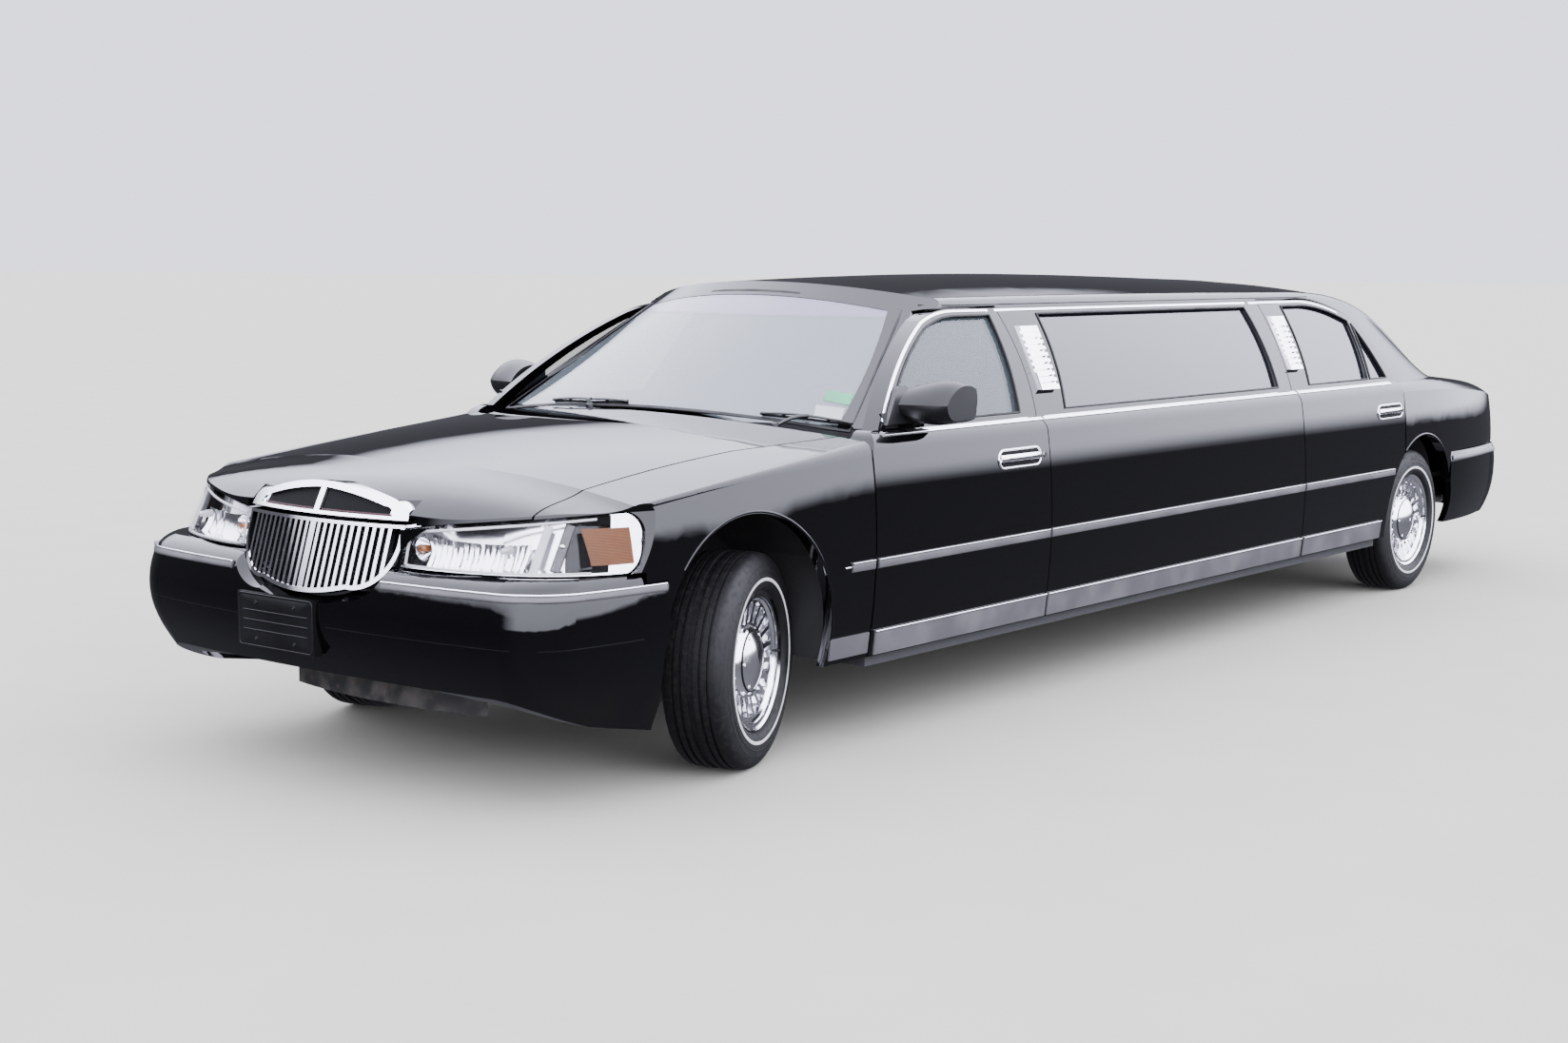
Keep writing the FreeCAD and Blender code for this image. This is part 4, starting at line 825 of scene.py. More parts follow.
def window_trim():
    """Rubber round each side window, and the bright line over the doors and the middle."""
    for tag, side in SIDES:
        for name, body, outline in WINDOWS:
            moulding(f"window_rubber_{name}_{tag}", on_body(body, tag), RUBBER,
                     on_wall(side, shrunk(spaced(outline, 60), 1.0)), 9, 9, 2, True)
        for name, body, places in BRIGHT_LINES:
            moulding(f"frame_bright_{name}_{tag}", on_body(body, tag), CHROME,
                     on_wall(side, places), 7, 13, 3)


HANDLE_Z = 905
HANDLES = (("front_door", 1457), ("rear_door", 4752))       # body, middle s
HANDLE_BAR = ((-134, 4), (-118, 11), (-60, 15), (0, 16), (60, 15), (118, 11), (134, 4))
KEY_S = 1628


def door_handles():
    """An oval bright rim round a dark cup, with a bright bar across it and a thin dark slot."""
    for tag, side in SIDES:
        for body, middle_s in HANDLES:
            whose = name = f"{body}_{tag}"
            oval = rounded(280, 64, 31.5, 9)
            cup = [on_wall(side, [(middle_s + a * reach, HANDLE_Z + b * reach) for a, b in oval])
                   for reach in (0.02, 0.5, 1.0)]
            slab(f"handle_cup_{name}", whose, RECESS, cup, 1.5, 3, wrap=True)
            moulding(f"handle_rim_{name}", whose, CHROME, cup[-1], 10, 10, 4, True)
            bar = []
            for along, rise in HANDLE_BAR:
                bar += raised([wall(side, middle_s + along, HANDLE_Z + 3)], rise)
            moulding(f"handle_bar_{name}", whose, CHROME, bar, 12, 26, 5.8)
            slot = on_wall(side, [(middle_s + along, HANDLE_Z + 1) for along in (-96, -40, 40, 96)])
            moulding(f"handle_slot_{name}", whose, RECESS, raised(slot, 22.5), 2, 3, 0.8)
        place, _ = wall(side, KEY_S, HANDLE_Z)
        patch(f"key_front_door_{tag}", f"front_door_{tag}", CHROME, place, side * BACK, UP,
              rounded(22, 22, 10.9), 2.5, 5)


STRIP_Z, REAR_STRIP_Z, GROOVE_Z = 655, 628, 509
BUMPER_STRIP = (12, 26, 6)


def bumper_trim():
    """Bright-edged strips round the bumpers, and the front one's dark groove."""
    front, rear = Skin("front_bumper"), Skin("rear_bumper")

    def round_front(side, height, first_x):
        """From near the middle of the front bumper to its corner."""
        places = [front.before(side * x, height) for x in range(first_x, 831, 20)]
        return places + [front.around(side * 560, -500, height, side * turn)
                         for turn in range(38, 82, 3)]

    for tag, side in SIDES:
        strip = round_front(side, STRIP_Z, 342)
        strip += [front.beside(side, s, STRIP_Z) for s in (-520, -480)]
        moulding(f"front_strip_{tag}", "chassis", SATIN_GREY, strip, *BUMPER_STRIP)
        bright = [(place + UP * 0.010, out) for place, out in raised(strip, 6)]
        moulding(f"front_strip_bright_{tag}", "chassis", CHROME, bright, 2.5, 4, 1)
        strip = [rear.beside(side, s, REAR_STRIP_Z) for s in (5560, 5660, 5760, 5860, 5940)]
        strip += [rear.around(side * 600, 6140, REAR_STRIP_Z, side * turn)
                  for turn in range(100, 146, 6)]
        strip += [rear.behind(side * x, REAR_STRIP_Z) for x in range(720, -1, -60)]
        moulding(f"rear_strip_{tag}", "chassis", SATIN_GREY, strip, *BUMPER_STRIP)
        moulding(f"front_groove_{GROOVE_Z}_{tag}", "chassis", RECESS,
                 raised(round_front(side, GROOVE_Z, 120), -0.4), 2, 4, 0.8)


# ---------------------------------------------------------------- nose


INNER_LAMP = (412, -904, 760)
MAIN_BULB = (690, -846, 772)


def headlamps():
    """Bowls, facets, bulbs, marker and bezel seen through the lenses."""
    glass = Skin("headlamp_lenses")

    def inside(side, x, z, deep):
        """A place behind the lens, deep back from its face."""
        return raised([glass.before(side * x, z)], -deep)[0]

    for tag, side in SIDES:
        facets = []
        for z in range(722, 806, 9):
            line = []
            for index, x in enumerate(range(440, 756, 9)):
                bowl = 38 - 22 * ((x - 600) / 160) ** 2 - 10 * ((z - 764) / 42) ** 2
                line.append(inside(side, x, z, 26 + bowl + (4 if index % 2 else 0)))
            facets.append(line)
        slab(f"lamp_facets_{tag}", "chassis", REFLECTOR, facets, 0, 3)
        x, s, z = INNER_LAMP
        revolved(f"inner_lamp_bowl_{tag}", "chassis", REFLECTOR,
                 ((0, -26), (12, -24), (26, -8), (34, 8), (37, 8), (28, -12), (13, -29), (0, -30)),
                 at(side * x, s, z), -BACK, 36)
        revolved(f"inner_lamp_bulb_{tag}", "chassis", BULB,
                 ((0, -26), (8, -24), (9, -8), (12, 2), (11, 10), (6, 15), (0, 16)),
                 at(side * x, s, z), -BACK, 24)
        x, s, z = MAIN_BULB
        revolved(f"main_bulb_{tag}", "chassis", LAMP_WHITE,
                 ((0, -20), (12, -20), (12, 0), (9, 4), (9, 20), (5, 25), (0, 26)),
                 at(side * x, s, z), (0.2 * side, -1, 0), 24)
        capsule = [inside(side, 838, z, 24) for z in (724, 736, 790, 842, 852)]
        moulding(f"lamp_capsule_{tag}", "chassis", SATIN_GREY, capsule, 20, 30, 8)
        marker, out = inside(side, 836, 792, 12)
        revolved(f"lamp_marker_{tag}", "chassis", CHROME,
                 ((0, -3), (7, -3), (7, 1), (4, 4), (0, 5)), marker, out, 20)
        amber = [raised([glass.beside(side, s, z) for s in range(-718, -584, 9)], -1.5)
                 for z in range(734, 846, 8)]
        slab(f"lamp_amber_{tag}", "chassis", AMBER, amber, 0, 1.2)
        foot = [inside(side, x, 714, 9) for x in range(380, 916, 24)]
        head = [inside(side, x, 807 + (x - 350) * 63 / 580, 9) for x in range(380, 906, 24)]
        inner = [inside(side, 374, z, 9) for z in range(716, 812, 12)]
        for name, route in (("foot", foot), ("head", head), ("inner", inner)):
            moulding(f"lamp_bezel_{name}_{tag}", "chassis", LAMP_WHITE, route, 7, 8, 2.5)
        gap = [inside(side, 790, z, 14) for z in range(716, 856, 12)]
        moulding(f"lamp_bezel_gap_{tag}", "chassis", LAMP_WHITE, gap, 9, 26, 4)


# The nose's faces lean back, as (s at a height, that height, s gained for each mm up).
GRILLE_FACE = (-1046, 600, 74 / 240)
HEADER_FACE = (-982, 818, 0.5)


def nose_place(face, x, z, deep):
    """A place deep behind a face of the nose, which also curves back 52 mm by x = 360."""
    foot_s, foot_z, lean = face
    return at(x, foot_s + (z - foot_z) * lean + 52 * (x / 360) ** 2 + deep, z), -BACK


def grille_and_header():
    """A near-black sheet behind the grille's bars, painted shade for the depth there, and two dark lined pockets
    in the header.
    """
    levels = ((624, 60), (643, 180), (684, 296), (730, 322), (772, 334), (812, 334))
    # painted shade: a near-black sheet set behind the grille's bars stands in for the shade in the depth behind
    # them
    depth_shade = [[nose_place(GRILLE_FACE, half * step / 12, z, 52) for step in range(-12, 13)]
               for z, half in levels]
    slab("grille_backing", "chassis", RECESS, depth_shade, 0, 3)
    foot_z = 848
    for tag, side in SIDES:
        arch = [(x, min(915, 921 - 45 * (x / 285) ** 2)) for x in range(14, 290, 12)]
        pocket = [[nose_place(HEADER_FACE, side * x, part_way(foot_z, top_z, up), 12)
                   for x, top_z in arch] for up in (0, 0.5, 1)]
        slab(f"header_pocket_{tag}", "hood", RECESS, pocket, 0, 1.5)
        edge = [nose_place(HEADER_FACE, side * x, 851, 9) for x in range(18, 292, 14)]
        moulding(f"header_pocket_edge_{tag}", "hood", POCKET_EDGE, edge, 5, 4, 1)


def front_plate():
    """The blank plate holder: a rounded frame, a ribbed face and four screws."""
    middle = at(-97.5, -1052, 500)
    outline = rounded(341, 160, 12)
    patch("plate_face", "chassis", BLACK_TRIM, middle, LEFT, UP, outline, 1.0, 3)
    moulding("plate_frame", "chassis", BLACK_TRIM, on_plane(middle, LEFT, UP, outline),
             4, 7, 1.4, True)
    for name, height in (("upper", 56), ("lower", -56)):
        row(f"plate_screws_{name}", "chassis", BLACK_TRIM,
            on_plane(middle, LEFT, UP, ((-89, height), (89, height))), 2, SCREW)
    for index, height in enumerate((-30, 0, 30)):
        rib = on_plane(middle, LEFT, UP, ((-150, height), (0, height), (150, height)))
        moulding(f"plate_rib_{index}", "chassis", BLACK_TRIM, rib, 4, 5, 1.5)


WIPERS = (
    # name, blade as (x, s), pivot
    ("near", ((485, 574), (657, 618), (802, 657)), (560, 560, 1045)),
    ("far", ((-500, 580), (-281, 545), (-96, 535)), (-260, 520, 1075)),
)
LABELS = (
    # name, finish, corners as (x, s)
    ("green", GREEN_LABEL, ((622, 770), (713, 797), (736, 745), (639, 726))),
    ("white", WHITE_LABEL, ((630, 696), (730, 726), (757, 668), (664, 636))),
)


def bowed(half, s, back, z, drop):
    """A line right across the car, going back and down from its middle towards its ends."""
    return [at(half * t, s + back * t * t, z - drop * t * t)
            for t in (step / 12 for step in range(-12, 13))]


def windscreen_fittings():
    """Rubber round the windscreen, wipers and two blank labels."""
    screen = Skin("windscreen", "roof", "cowl")
    pillar = [at(808 - 208 * t, 646 + 592 * t, 1036 + 390 * t) for t in (0.1, 0.3, 0.5, 0.7, 0.9)]
    edge = bowed(808, 532, 114, 1086, 50) + pillar + bowed(598, 1132, 104, 1490, 66)[::-1]
    edge += [Vector((-place.x, place.y, place.z)) for place in reversed(pillar)]
    moulding("windscreen_rubber", "chassis", RUBBER,
             [(place, Vector((0, -0.55, 0.83))) for place in edge], 7, 16, 2, True)

    for name, places, pivot in WIPERS:
        blade = [screen.above(x, s + 10) for x, s in spaced(places, 40)]
        moulding(f"wiper_rubber_{name}", "chassis", RUBBER, raised(blade, 4), 9, 5, 1.5)
        bow = []
        for step, spot in enumerate(blade):
            bow += raised([spot], 12 + 6 * math.sin(math.pi * step / (len(blade) - 1)))
        moulding(f"wiper_bow_{name}", "chassis", BLACK_TRIM, bow, 5, 9, 1.5)
        row(f"wiper_clips_{name}", "chassis", BLACK_TRIM, raised(blade, 12), 5, SCREW)
        middle, out = blade[len(blade) // 2]
        start, end = at(*pivot), middle + out * 0.02
        arm = [(start.lerp(end, t) + out * 0.012 * math.sin(math.pi * t), out)
               for t in (0, 0.25, 0.5, 0.75, 1)]
        moulding(f"wiper_arm_{name}", "chassis", BLACK_TRIM, arm, 8, 16, 3)
        revolved(f"wiper_pivot_{name}", "chassis", BLACK_TRIM,
                 ((0, -12), (16, -12), (15, 8), (10, 14), (0, 15)), start, (0, -0.3, 0.95), 24)

    quarters = (0, 0.25, 0.5, 0.75, 1)
    for name, finish, corners in LABELS:
        a, b, c, d = (Vector(corner) for corner in corners)
        grid = [[screen.above(*a.lerp(b, v).lerp(d.lerp(c, v), u)) for v in quarters]
                for u in quarters]
        slab(f"label_{name}", "chassis", finish, grid, 0.8, 0.7)


def mirrors():
    """Glass in each door mirror, with a dark rim."""
    for tag, side in SIDES:
        middle, _ = Skin(f"mirror_{tag}").hit(at(side * 1000, 2500, 1128), -BACK)
        glass = [on_plane(middle, -LEFT, UP, [(a * reach, b * reach)
                                              for a, b in rounded(136, 104, 26, 6)])
                 for reach in (0.02, 0.5, 1.0)]
        slab(f"mirror_glass_{tag}", f"front_door_{tag}", MIRROR, glass, 1.5, 4, wrap=True)
        moulding(f"mirror_rim_{tag}", f"front_door_{tag}", BLACK_TRIM, glass[-1], 7, 5, 1.5, True)


SIDE_LAMPS = (
    # name, body, s from and to at the head, s from and to at the foot
    ("centre", "chassis", (1784, 1909), (1733, 1857)),
    ("door", "rear_door", (3900, 4024), (3840, 3943)),
)
SIDE_LAMP_FOOT, SIDE_LAMP_HEIGHT = 1134, 231
SIDE_LAMP_RIBS = 4


def side_lamps():
    """Lengthwise ribs on each tall side lamp."""
    for tag, side in SIDES:
        for name, body, head, foot in SIDE_LAMPS:
            for rib in range(SIDE_LAMP_RIBS):
                share = (rib + 0.5) / SIDE_LAMP_RIBS
                foot_s, head_s = part_way(*foot, share), part_way(*head, share)
                ups = [0.06 + 0.88 * step / 6 for step in range(7)]
                route = on_wall(side, [(part_way(foot_s, head_s, up),
                                        SIDE_LAMP_FOOT + SIDE_LAMP_HEIGHT * up) for up in ups])
                moulding(f"lamp_rib_{name}_{rib}_{tag}", on_body(body, tag), LAMP_RIB,
                         raised(route, 2), 13, 22, 5.5)


# ---------------------------------------------------------------- wheels


# Half of the tyre's section, from the outer bead to the middle of the tread: (across, radius).
TYRE_HALF = ((90, 225), (97, 229), (104, 233), (109, 243), (112.4, 254), (113, 262), (112.7, 270),
             (111, 288), (107.5, 306), (102.5, 321), (97, 331), (91, 338.5), (84, 342.8), (74, 345),
             (62, 346), (60.5, 338.5), (54.5, 338.5), (53, 346.3), (37, 346.6), (35.5, 338.5),
             (28.5, 338.5), (27, 346.8), (11, 347), (9.5, 339), (0, 339))
HALF_TYRE = 113
TREAD_FROM = 13         # place in TYRE_HALF where the tread starts
TYRE_SIDES = 120


def wheel_frames():
    """Each wheel's name, body and hub: the frame whose Z points out of the car."""
    for end in ("front", "rear"):
        for tag, side in SIDES:
            joint = JOINTS[f"wheel_{end}_{tag}_spin"]
            out = Vector(joint["axis"]).normalized() * side
            turn = Matrix((UP.cross(out), UP, out)).transposed().to_4x4()
            yield f"{end}_{tag}", f"wheel_{end}_{tag}", Matrix.Translation(joint["pos_m"]) @ turn


def tyre_shape():
    """A grooved tyre about Z, with a map of (turn, way across the tread)."""
    section = list(TYRE_HALF)
    section += [(-across, radius) for across, radius in reversed(TYRE_HALF[:-1])]
    section += [(-90, 205), (90, 205)]
    count = len(section)
    on_tread = range(TREAD_FROM, count - TREAD_FROM - 1)
    shape = bmesh.new()
    wrap = shape.loops.layers.uv.new("wrap")
    rings = [[shape.verts.new(place) for place in circle(radius, TYRE_SIDES, across)]
             for across, radius in section]
    for index in range(count):
        lower, upper = rings[index], rings[(index + 1) % count]
        for turn in range(TYRE_SIDES):
            after = (turn + 1) % TYRE_SIDES
            face = shape.faces.new((lower[turn], lower[after], upper[after], upper[turn]))
            for loop, (a, b) in zip(face.loops, ((turn, index), (turn + 1, index),
                                                 (turn + 1, index + 1), (turn, index + 1))):
                across = 0.5 - section[b][0] / HALF_TYRE / 4 if b in on_tread else 0.0
                loop[wrap].uv = (a / TYRE_SIDES, across)
    return shape


# Bands on each wheel's face: closed sections as (radius, how far out from the wheel's middle).
WHEEL_BANDS = (
    # name, finish, section
    ("white_ring", WHITE_WALL,
     ((254, 110), (255, 113.4), (257, 114), (263, 114), (265, 113.4), (266, 110))),
    ("wall_rib_0", TREAD, ((282, 104), (282, 112.6), (283.5, 113), (285, 111.8), (285, 104))),
    ("wall_rib_1", TREAD, ((300, 100), (300, 109.2), (301.5, 109.4), (303, 108.2), (303, 100))),
    ("rim_gap", RECESS, ((206, 78), (206, 84), (197, 80.5), (197, 76))),
    ("cap_seam", RECESS, ((99, 76), (99, 82), (102, 80), (102, 74))),
)
BRAKE_SECTION = ((72, -40), (146, -40), (146, -36), (72, -36))
CAP_STUDS = 6


def wheel_band(name, body, finish, section, hub):
    """A turned band on a wheel."""
    placed(name, body, finish, turned_shape(section, 96, band=True), hub)


def wheels():
    """Grooved tyres, rings, cap studs, a valve and a brake disc behind the spokes."""
    for name, body, hub in wheel_frames():
        tyre = placed(f"tyre_tread_{name}", body, TREAD, tyre_shape(), hub)
        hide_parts(f"tyre_{name}")
        for band, finish, section in WHEEL_BANDS:
            wheel_band(f"{band}_{name}", body, finish, section, hub)
        out = hub.to_3x3() @ UP
        studs = [(hub @ place, out) for place in circle(88, CAP_STUDS, 83)]
        row(f"cap_studs_{name}", body, CHROME, studs + studs[:1], CAP_STUDS + 1, SCREW)
        revolved(f"valve_{name}", body, RUBBER, ((0, -8), (4, -8), (4, 12), (3, 18), (0, 18)),
                 hub @ circle(196, 1, 84)[0], out, 16)
        wheel_band(f"brake_disc_{name}", body, BRAKE, BRAKE_SECTION, hub)


# ---------------------------------------------------------------- tail and body


def tail_fittings():
    """Ribbed tail lamps with a bright edge, the lid's bar and lock, and the blank rear plate."""
    lamps, lid = Skin("tail_lamps"), Skin("trunk_lid")
    for tag, side in SIDES:
        for index, height in enumerate(range(690, 866, 22)):
            rib = [lamps.behind(side * x, height) for x in range(626, 850, 28)]
            pale = 800 <= height <= 840
            moulding(f"tail_rib_{index}_{tag}", "chassis", LAMP_RIB if pale else TAIL_RED,
                     raised(rib, 1), 6, 9, 2.5)
        edge = [lamps.behind(side * 618, z) for z in range(682, 868, 12)]
        moulding(f"tail_edge_{tag}", "chassis", CHROME, edge, 6, 7, 2)
    bar = [lid.behind(x, 766) for x in range(-330, 331, 60)]
    moulding("lid_bar", "trunk_lid", CHROME, bar, 16, 26, 6)
    place, out = lid.behind(0, 812)
    revolved("lid_lock", "trunk_lid", CHROME,
             ((0, -4), (15, -4), (15, 2), (11, 4), (5, 3), (0, 3)), place, out, 28)
    plate, _ = Skin("tail_panel", "trunk_lid", "rear_bumper").behind(0, 700)
    plate += BACK * 0.002
    patch("rear_plate_bed", "chassis", BLACK_TRIM, plate, -LEFT, UP, rounded(330, 70, 8), 1.0, 4)
    row("rear_plate_screws", "chassis", CHROME,
        on_plane(plate + BACK * 0.001, -LEFT, UP, ((89, 16), (-89, 16))), 2, SCREW)


ARCHES = (
    # name, node, middle (s, z), radius, degrees from and to
    ("front", "front_fenders", (-72, 424), 416, (-8, 140)),
    ("rear", "quarter_panels", (5165, 368), 406, (24, 156)),
)
PIPE_X, PIPE_Z = 618, 345
REAR_WINDOW = ((-688, 5424), ((-640, 5180), (-560, 4972)), ((0, 5012), (560, 4972)),
               ((640, 5180), (688, 5424)))      # its upper edge and sides, as (x, s)


def body_details():
    """Drip rails, mirror feet, arch lips, pipe ends, fuel door, rear window rubber, brake lamp."""
    roof, quarters = Skin("roof"), Skin("quarter_panels")
    for tag, side in SIDES:
        rail = [roof.beside(side, s, 1447) for s in range(1300, 4500, 80)]
        moulding(f"drip_rail_{tag}", "chassis", PAINT, rail, 8, 7, 3)
        foot = [on_wall(side, [(s, z) for s in (698, 716, 740, 768 - (z - 1050) * 0.3)])
                for z in (1050, 1062, 1080, 1098)]
        slab(f"mirror_foot_{tag}", f"front_door_{tag}", BLACK_TRIM, foot, 5, 8)
        for name, node, (middle_s, middle_z), radius, (start, end) in ARCHES:
            skin, lip = Skin(node), []
            for degrees in range(start, end + 1, 4):
                turn = math.radians(degrees)
                s, z = middle_s + radius * math.cos(turn), middle_z + radius * math.sin(turn)
                met = skin.look(at(BESIDE_CAR * side, s, z), -side * LEFT)
                if met and abs(met[0].x) > 0.9:
                    lip.append(met)
            moulding(f"arch_lip_{name}_{tag}", "chassis", PAINT, lip, 5, 9, 2)
        revolved(f"pipe_end_{tag}", "chassis", CHROME,
                 ((22, -60), (27, -60), (28, 4), (27, 6), (24, 4), (23, -50)),
                 at(side * PIPE_X, 6355, PIPE_Z), BACK, 40)
    fuel = [quarters.beside(-1, 5330 + a, 850 + b) for a, b in rounded(170, 150, 18)]
    moulding("fuel_door_seam", "chassis", RECESS, fuel, 1.2, 3, 0.5, True)
    window = Skin("rear_window", "roof")
    edge = [window.above(x, s) for x, s in spaced(traced(*REAR_WINDOW), 80)]
    moulding("rear_window_rubber", "chassis", RUBBER, edge, 6, 14, 2)
    shelf, _ = Skin("rear_deck").above(0, 5300)
    lamp = [on_plane(shelf, LEFT, BACK, [(x, y) for x in (-130, -60, 0, 60, 130)])
            for y in (-30, 0, 30)]
    slab("high_brake_lamp", "chassis", TAIL_RED, lamp, 36, 38)


# ---------------------------------------------------------------- seats and cabin


PAD_KINDS = {
    # width across, depth, height, how far a point may move
    "seat": (500, 470, 120, 26),
    "back": (500, 500, 80, 22),
    "rest": (230, 170, 62, 14),
}
PAD_VOXEL = 0.014           # metres
CLOTH_FRAMES = 20
CHANNEL_DEPTH, CHANNEL_REACH = 0.008, 0.009     # metres, of a sewn channel


def blown_up(pad):
    """The pad's points after its cover has been blown up as cloth."""
    cloth = pad.modifiers.new("cloth", "CLOTH")
    cloth.settings.quality = 5
    cloth.settings.use_pressure = True
    cloth.settings.uniform_pressure_force = 4
    cloth.settings.effector_weights.gravity = 0
    cloth.point_cache.frame_end = CLOTH_FRAMES
    for moment in range(1, CLOTH_FRAMES + 1):
        bpy.context.scene.frame_set(moment)
    blown = evaluated(pad)
    pad.modifiers.clear()
    bpy.context.scene.frame_set(1)
    return [corner.co.copy() for corner in blown.vertices]


def swollen(width, depth, height, reach):
    """A pad blown up under pressure, its sides pulled in between the corners."""
    shape = bmesh.new()
    bmesh.ops.create_cube(shape, size=1.0)
    bmesh.ops.scale(shape, vec=(width / 1000, depth / 1000, height / 1000), verts=shape.verts)
    bmesh.ops.bevel(shape, geom=shape.edges[:], offset=height / 3500, segments=3, affect="EDGES")
    pad = put("pad", as_mesh("pad", shape, None))
    remesh = pad.modifiers.new("even", "REMESH")
    remesh.mode, remesh.voxel_size = "VOXEL", PAD_VOXEL
    pad.data = evaluated(pad)
    pad.modifiers.clear()
    before = [corner.co.copy() for corner in pad.data.vertices]
    after = blown_up(pad)
    for corner, old, new in zip(pad.data.vertices, before, after):
        move = new - old
        if move.length > reach / 1000:
            move *= reach / 1000 / move.length
        corner.co = old + move
    smooth = pad.modifiers.new("smooth", "SUBSURF")
    smooth.levels = smooth.render_levels = 1
    done = evaluated(pad)
    bpy.data.objects.remove(pad)
    return done


PADS = {kind: swollen(*sizes) for kind, sizes in PAD_KINDS.items()}


def cushion(name, kind, size, middle, turn, channels=3):
    """A pad of a kind brought to its size, with sewn channels and piping, set in its place."""
    shape = bmesh.new()
    shape.from_mesh(PADS[kind])
    low = Vector((min(corner.co[i] for corner in shape.verts) for i in range(3)))
    high = Vector((max(corner.co[i] for corner in shape.verts) for i in range(3)))
    span = high - low
    for corner in shape.verts:
        corner.co = Vector((corner.co[i] / span[i] * size[i] / 1000 for i in range(3)))
    shape.normal_update()
    half = size[0] / 2000
    lines = [half * (2 * index / channels - 1) for index in range(1, channels)]
    moves = {}
    for corner in shape.verts:
        if corner.normal.z > 0.3:
            near = min((abs(corner.co.x - line) for line in lines), default=1.0)
            depth = CHANNEL_DEPTH * math.exp(-(near / CHANNEL_REACH) ** 2)
            moves[corner] = corner.normal * -depth
    for corner, move in moves.items():
        corner.co += move
    place = Matrix.Translation(middle) @ turn
    faces = BVHTree.FromBMesh(shape)
    ring = []
    for a, b in rounded(size[0] * 0.9, size[1] * 0.9, min(size[:2]) * 0.12, 4):
        spot, out, _, _ = faces.ray_cast(Vector((a / 1000, b / 1000, 1.0)), -UP)
        ring.append((place @ spot, place.to_3x3() @ out))
    bmesh.ops.transform(shape, matrix=place, verts=shape.verts)
    pad = ready(name, "chassis", as_mesh(name, shape, None), LEATHER)
    moulding(f"{name}_piping", "chassis", PIPING, ring, 6, 6, 2.6, True)
    return pad


def seat_base(name, middle, width, length, corner, depth, bevel=4):
    """The hard base that a pad lies on, its top at a middle."""
    patch(name, "chassis", SEAT_SHELL, middle, LEFT, BACK, rounded(width, length, corner), 0,
          depth, bevel)


def tilted(degrees, about="X"):
    """A turn about one axis."""
    return Matrix.Rotation(math.radians(degrees), 4, about)


BACK_LEAN = math.radians(15.5)
POST_LEAN = 0.25        # radians


def front_seat(tag, side):
    """Cushion, back, headrest on two posts, hard base and shell, and the recliner's cover."""
    x = side * 365
    pad = cushion(f"front_seat_cushion_{tag}", "seat", (500, 470, 150), at(x, 1590, 580), tilted(3))
    cushion(f"front_seat_back_{tag}", "back", (490, 540, 120), at(x, 1965, 905), tilted(74.5))
    cushion(f"headrest_{tag}", "rest", (230, 180, 80), at(x, 2045, 1290), tilted(80), 1)
    seat_base(f"seat_base_{tag}", at(x, 1590, 505), 500, 470, 40, 62)
    patch(f"seat_back_shell_{tag}", "chassis", SEAT_SHELL, at(x, 2034, 900), -LEFT,
          Vector((0, math.sin(BACK_LEAN), math.cos(BACK_LEAN))), rounded(470, 500, 60), 6, 14, 4)
    for post in (-45, 45):
        revolved(f"headrest_post_{tag}_{post + 45}", "chassis", CHROME,
                 ((0, -50), (6, -50), (6, 50), (0, 50)), at(x + post, 2030, 1185),
                 (0, math.sin(POST_LEAN), math.cos(POST_LEAN)), 16)
    revolved(f"recliner_{tag}", "chassis", SEAT_SHELL,
             ((0, 0), (48, 0), (50, 4), (46, 12), (20, 15), (0, 15)),
             at(side * 618, 1850, 580), (side, 0, 0), 32)
    return pad


def seats():
    """Two front seats, the long bench on the right and the rear seat."""
    front = [front_seat(tag, side) for tag, side in SIDES]
    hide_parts("front_seats")
    for index, s in enumerate((2560, 3195, 3830)):
        cushion(f"bench_cushion_{index}", "seat", (618, 350, 140), at(-624, s, 638),
                             tilted(90, "Z"))
        cushion(f"bench_back_{index}", "back", (618, 270, 60), at(-824, s, 848),
                tilted(90, "Z") @ tilted(80))
        seat_base(f"bench_base_{index}", at(-640, s, 572), 380, 622, 24, 130)
    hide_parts("rear_seats")
    for index, x in enumerate((-420, 0, 420)):
        cushion(f"rear_seat_cushion_{index}", "seat", (412, 480, 150), at(x, 4530, 698), tilted(3))
        cushion(f"rear_seat_back_{index}", "back", (412, 470, 120), at(x, 4882, 968), tilted(73))
        seat_base(f"rear_seat_base_{index}", at(x, 4540, 628), 410, 480, 24, 30, 3)


DIALS = ((300, 42), (400, 52), (500, 42))           # x, radius
VENTS_X = (-700, -120, 60, 720)
PEDALS = ((300, 110), (430, 60))                    # x, width
AXLE_COVER = (5149 + 66, 347, 112)                  # s, height, radius of its bolts' circle


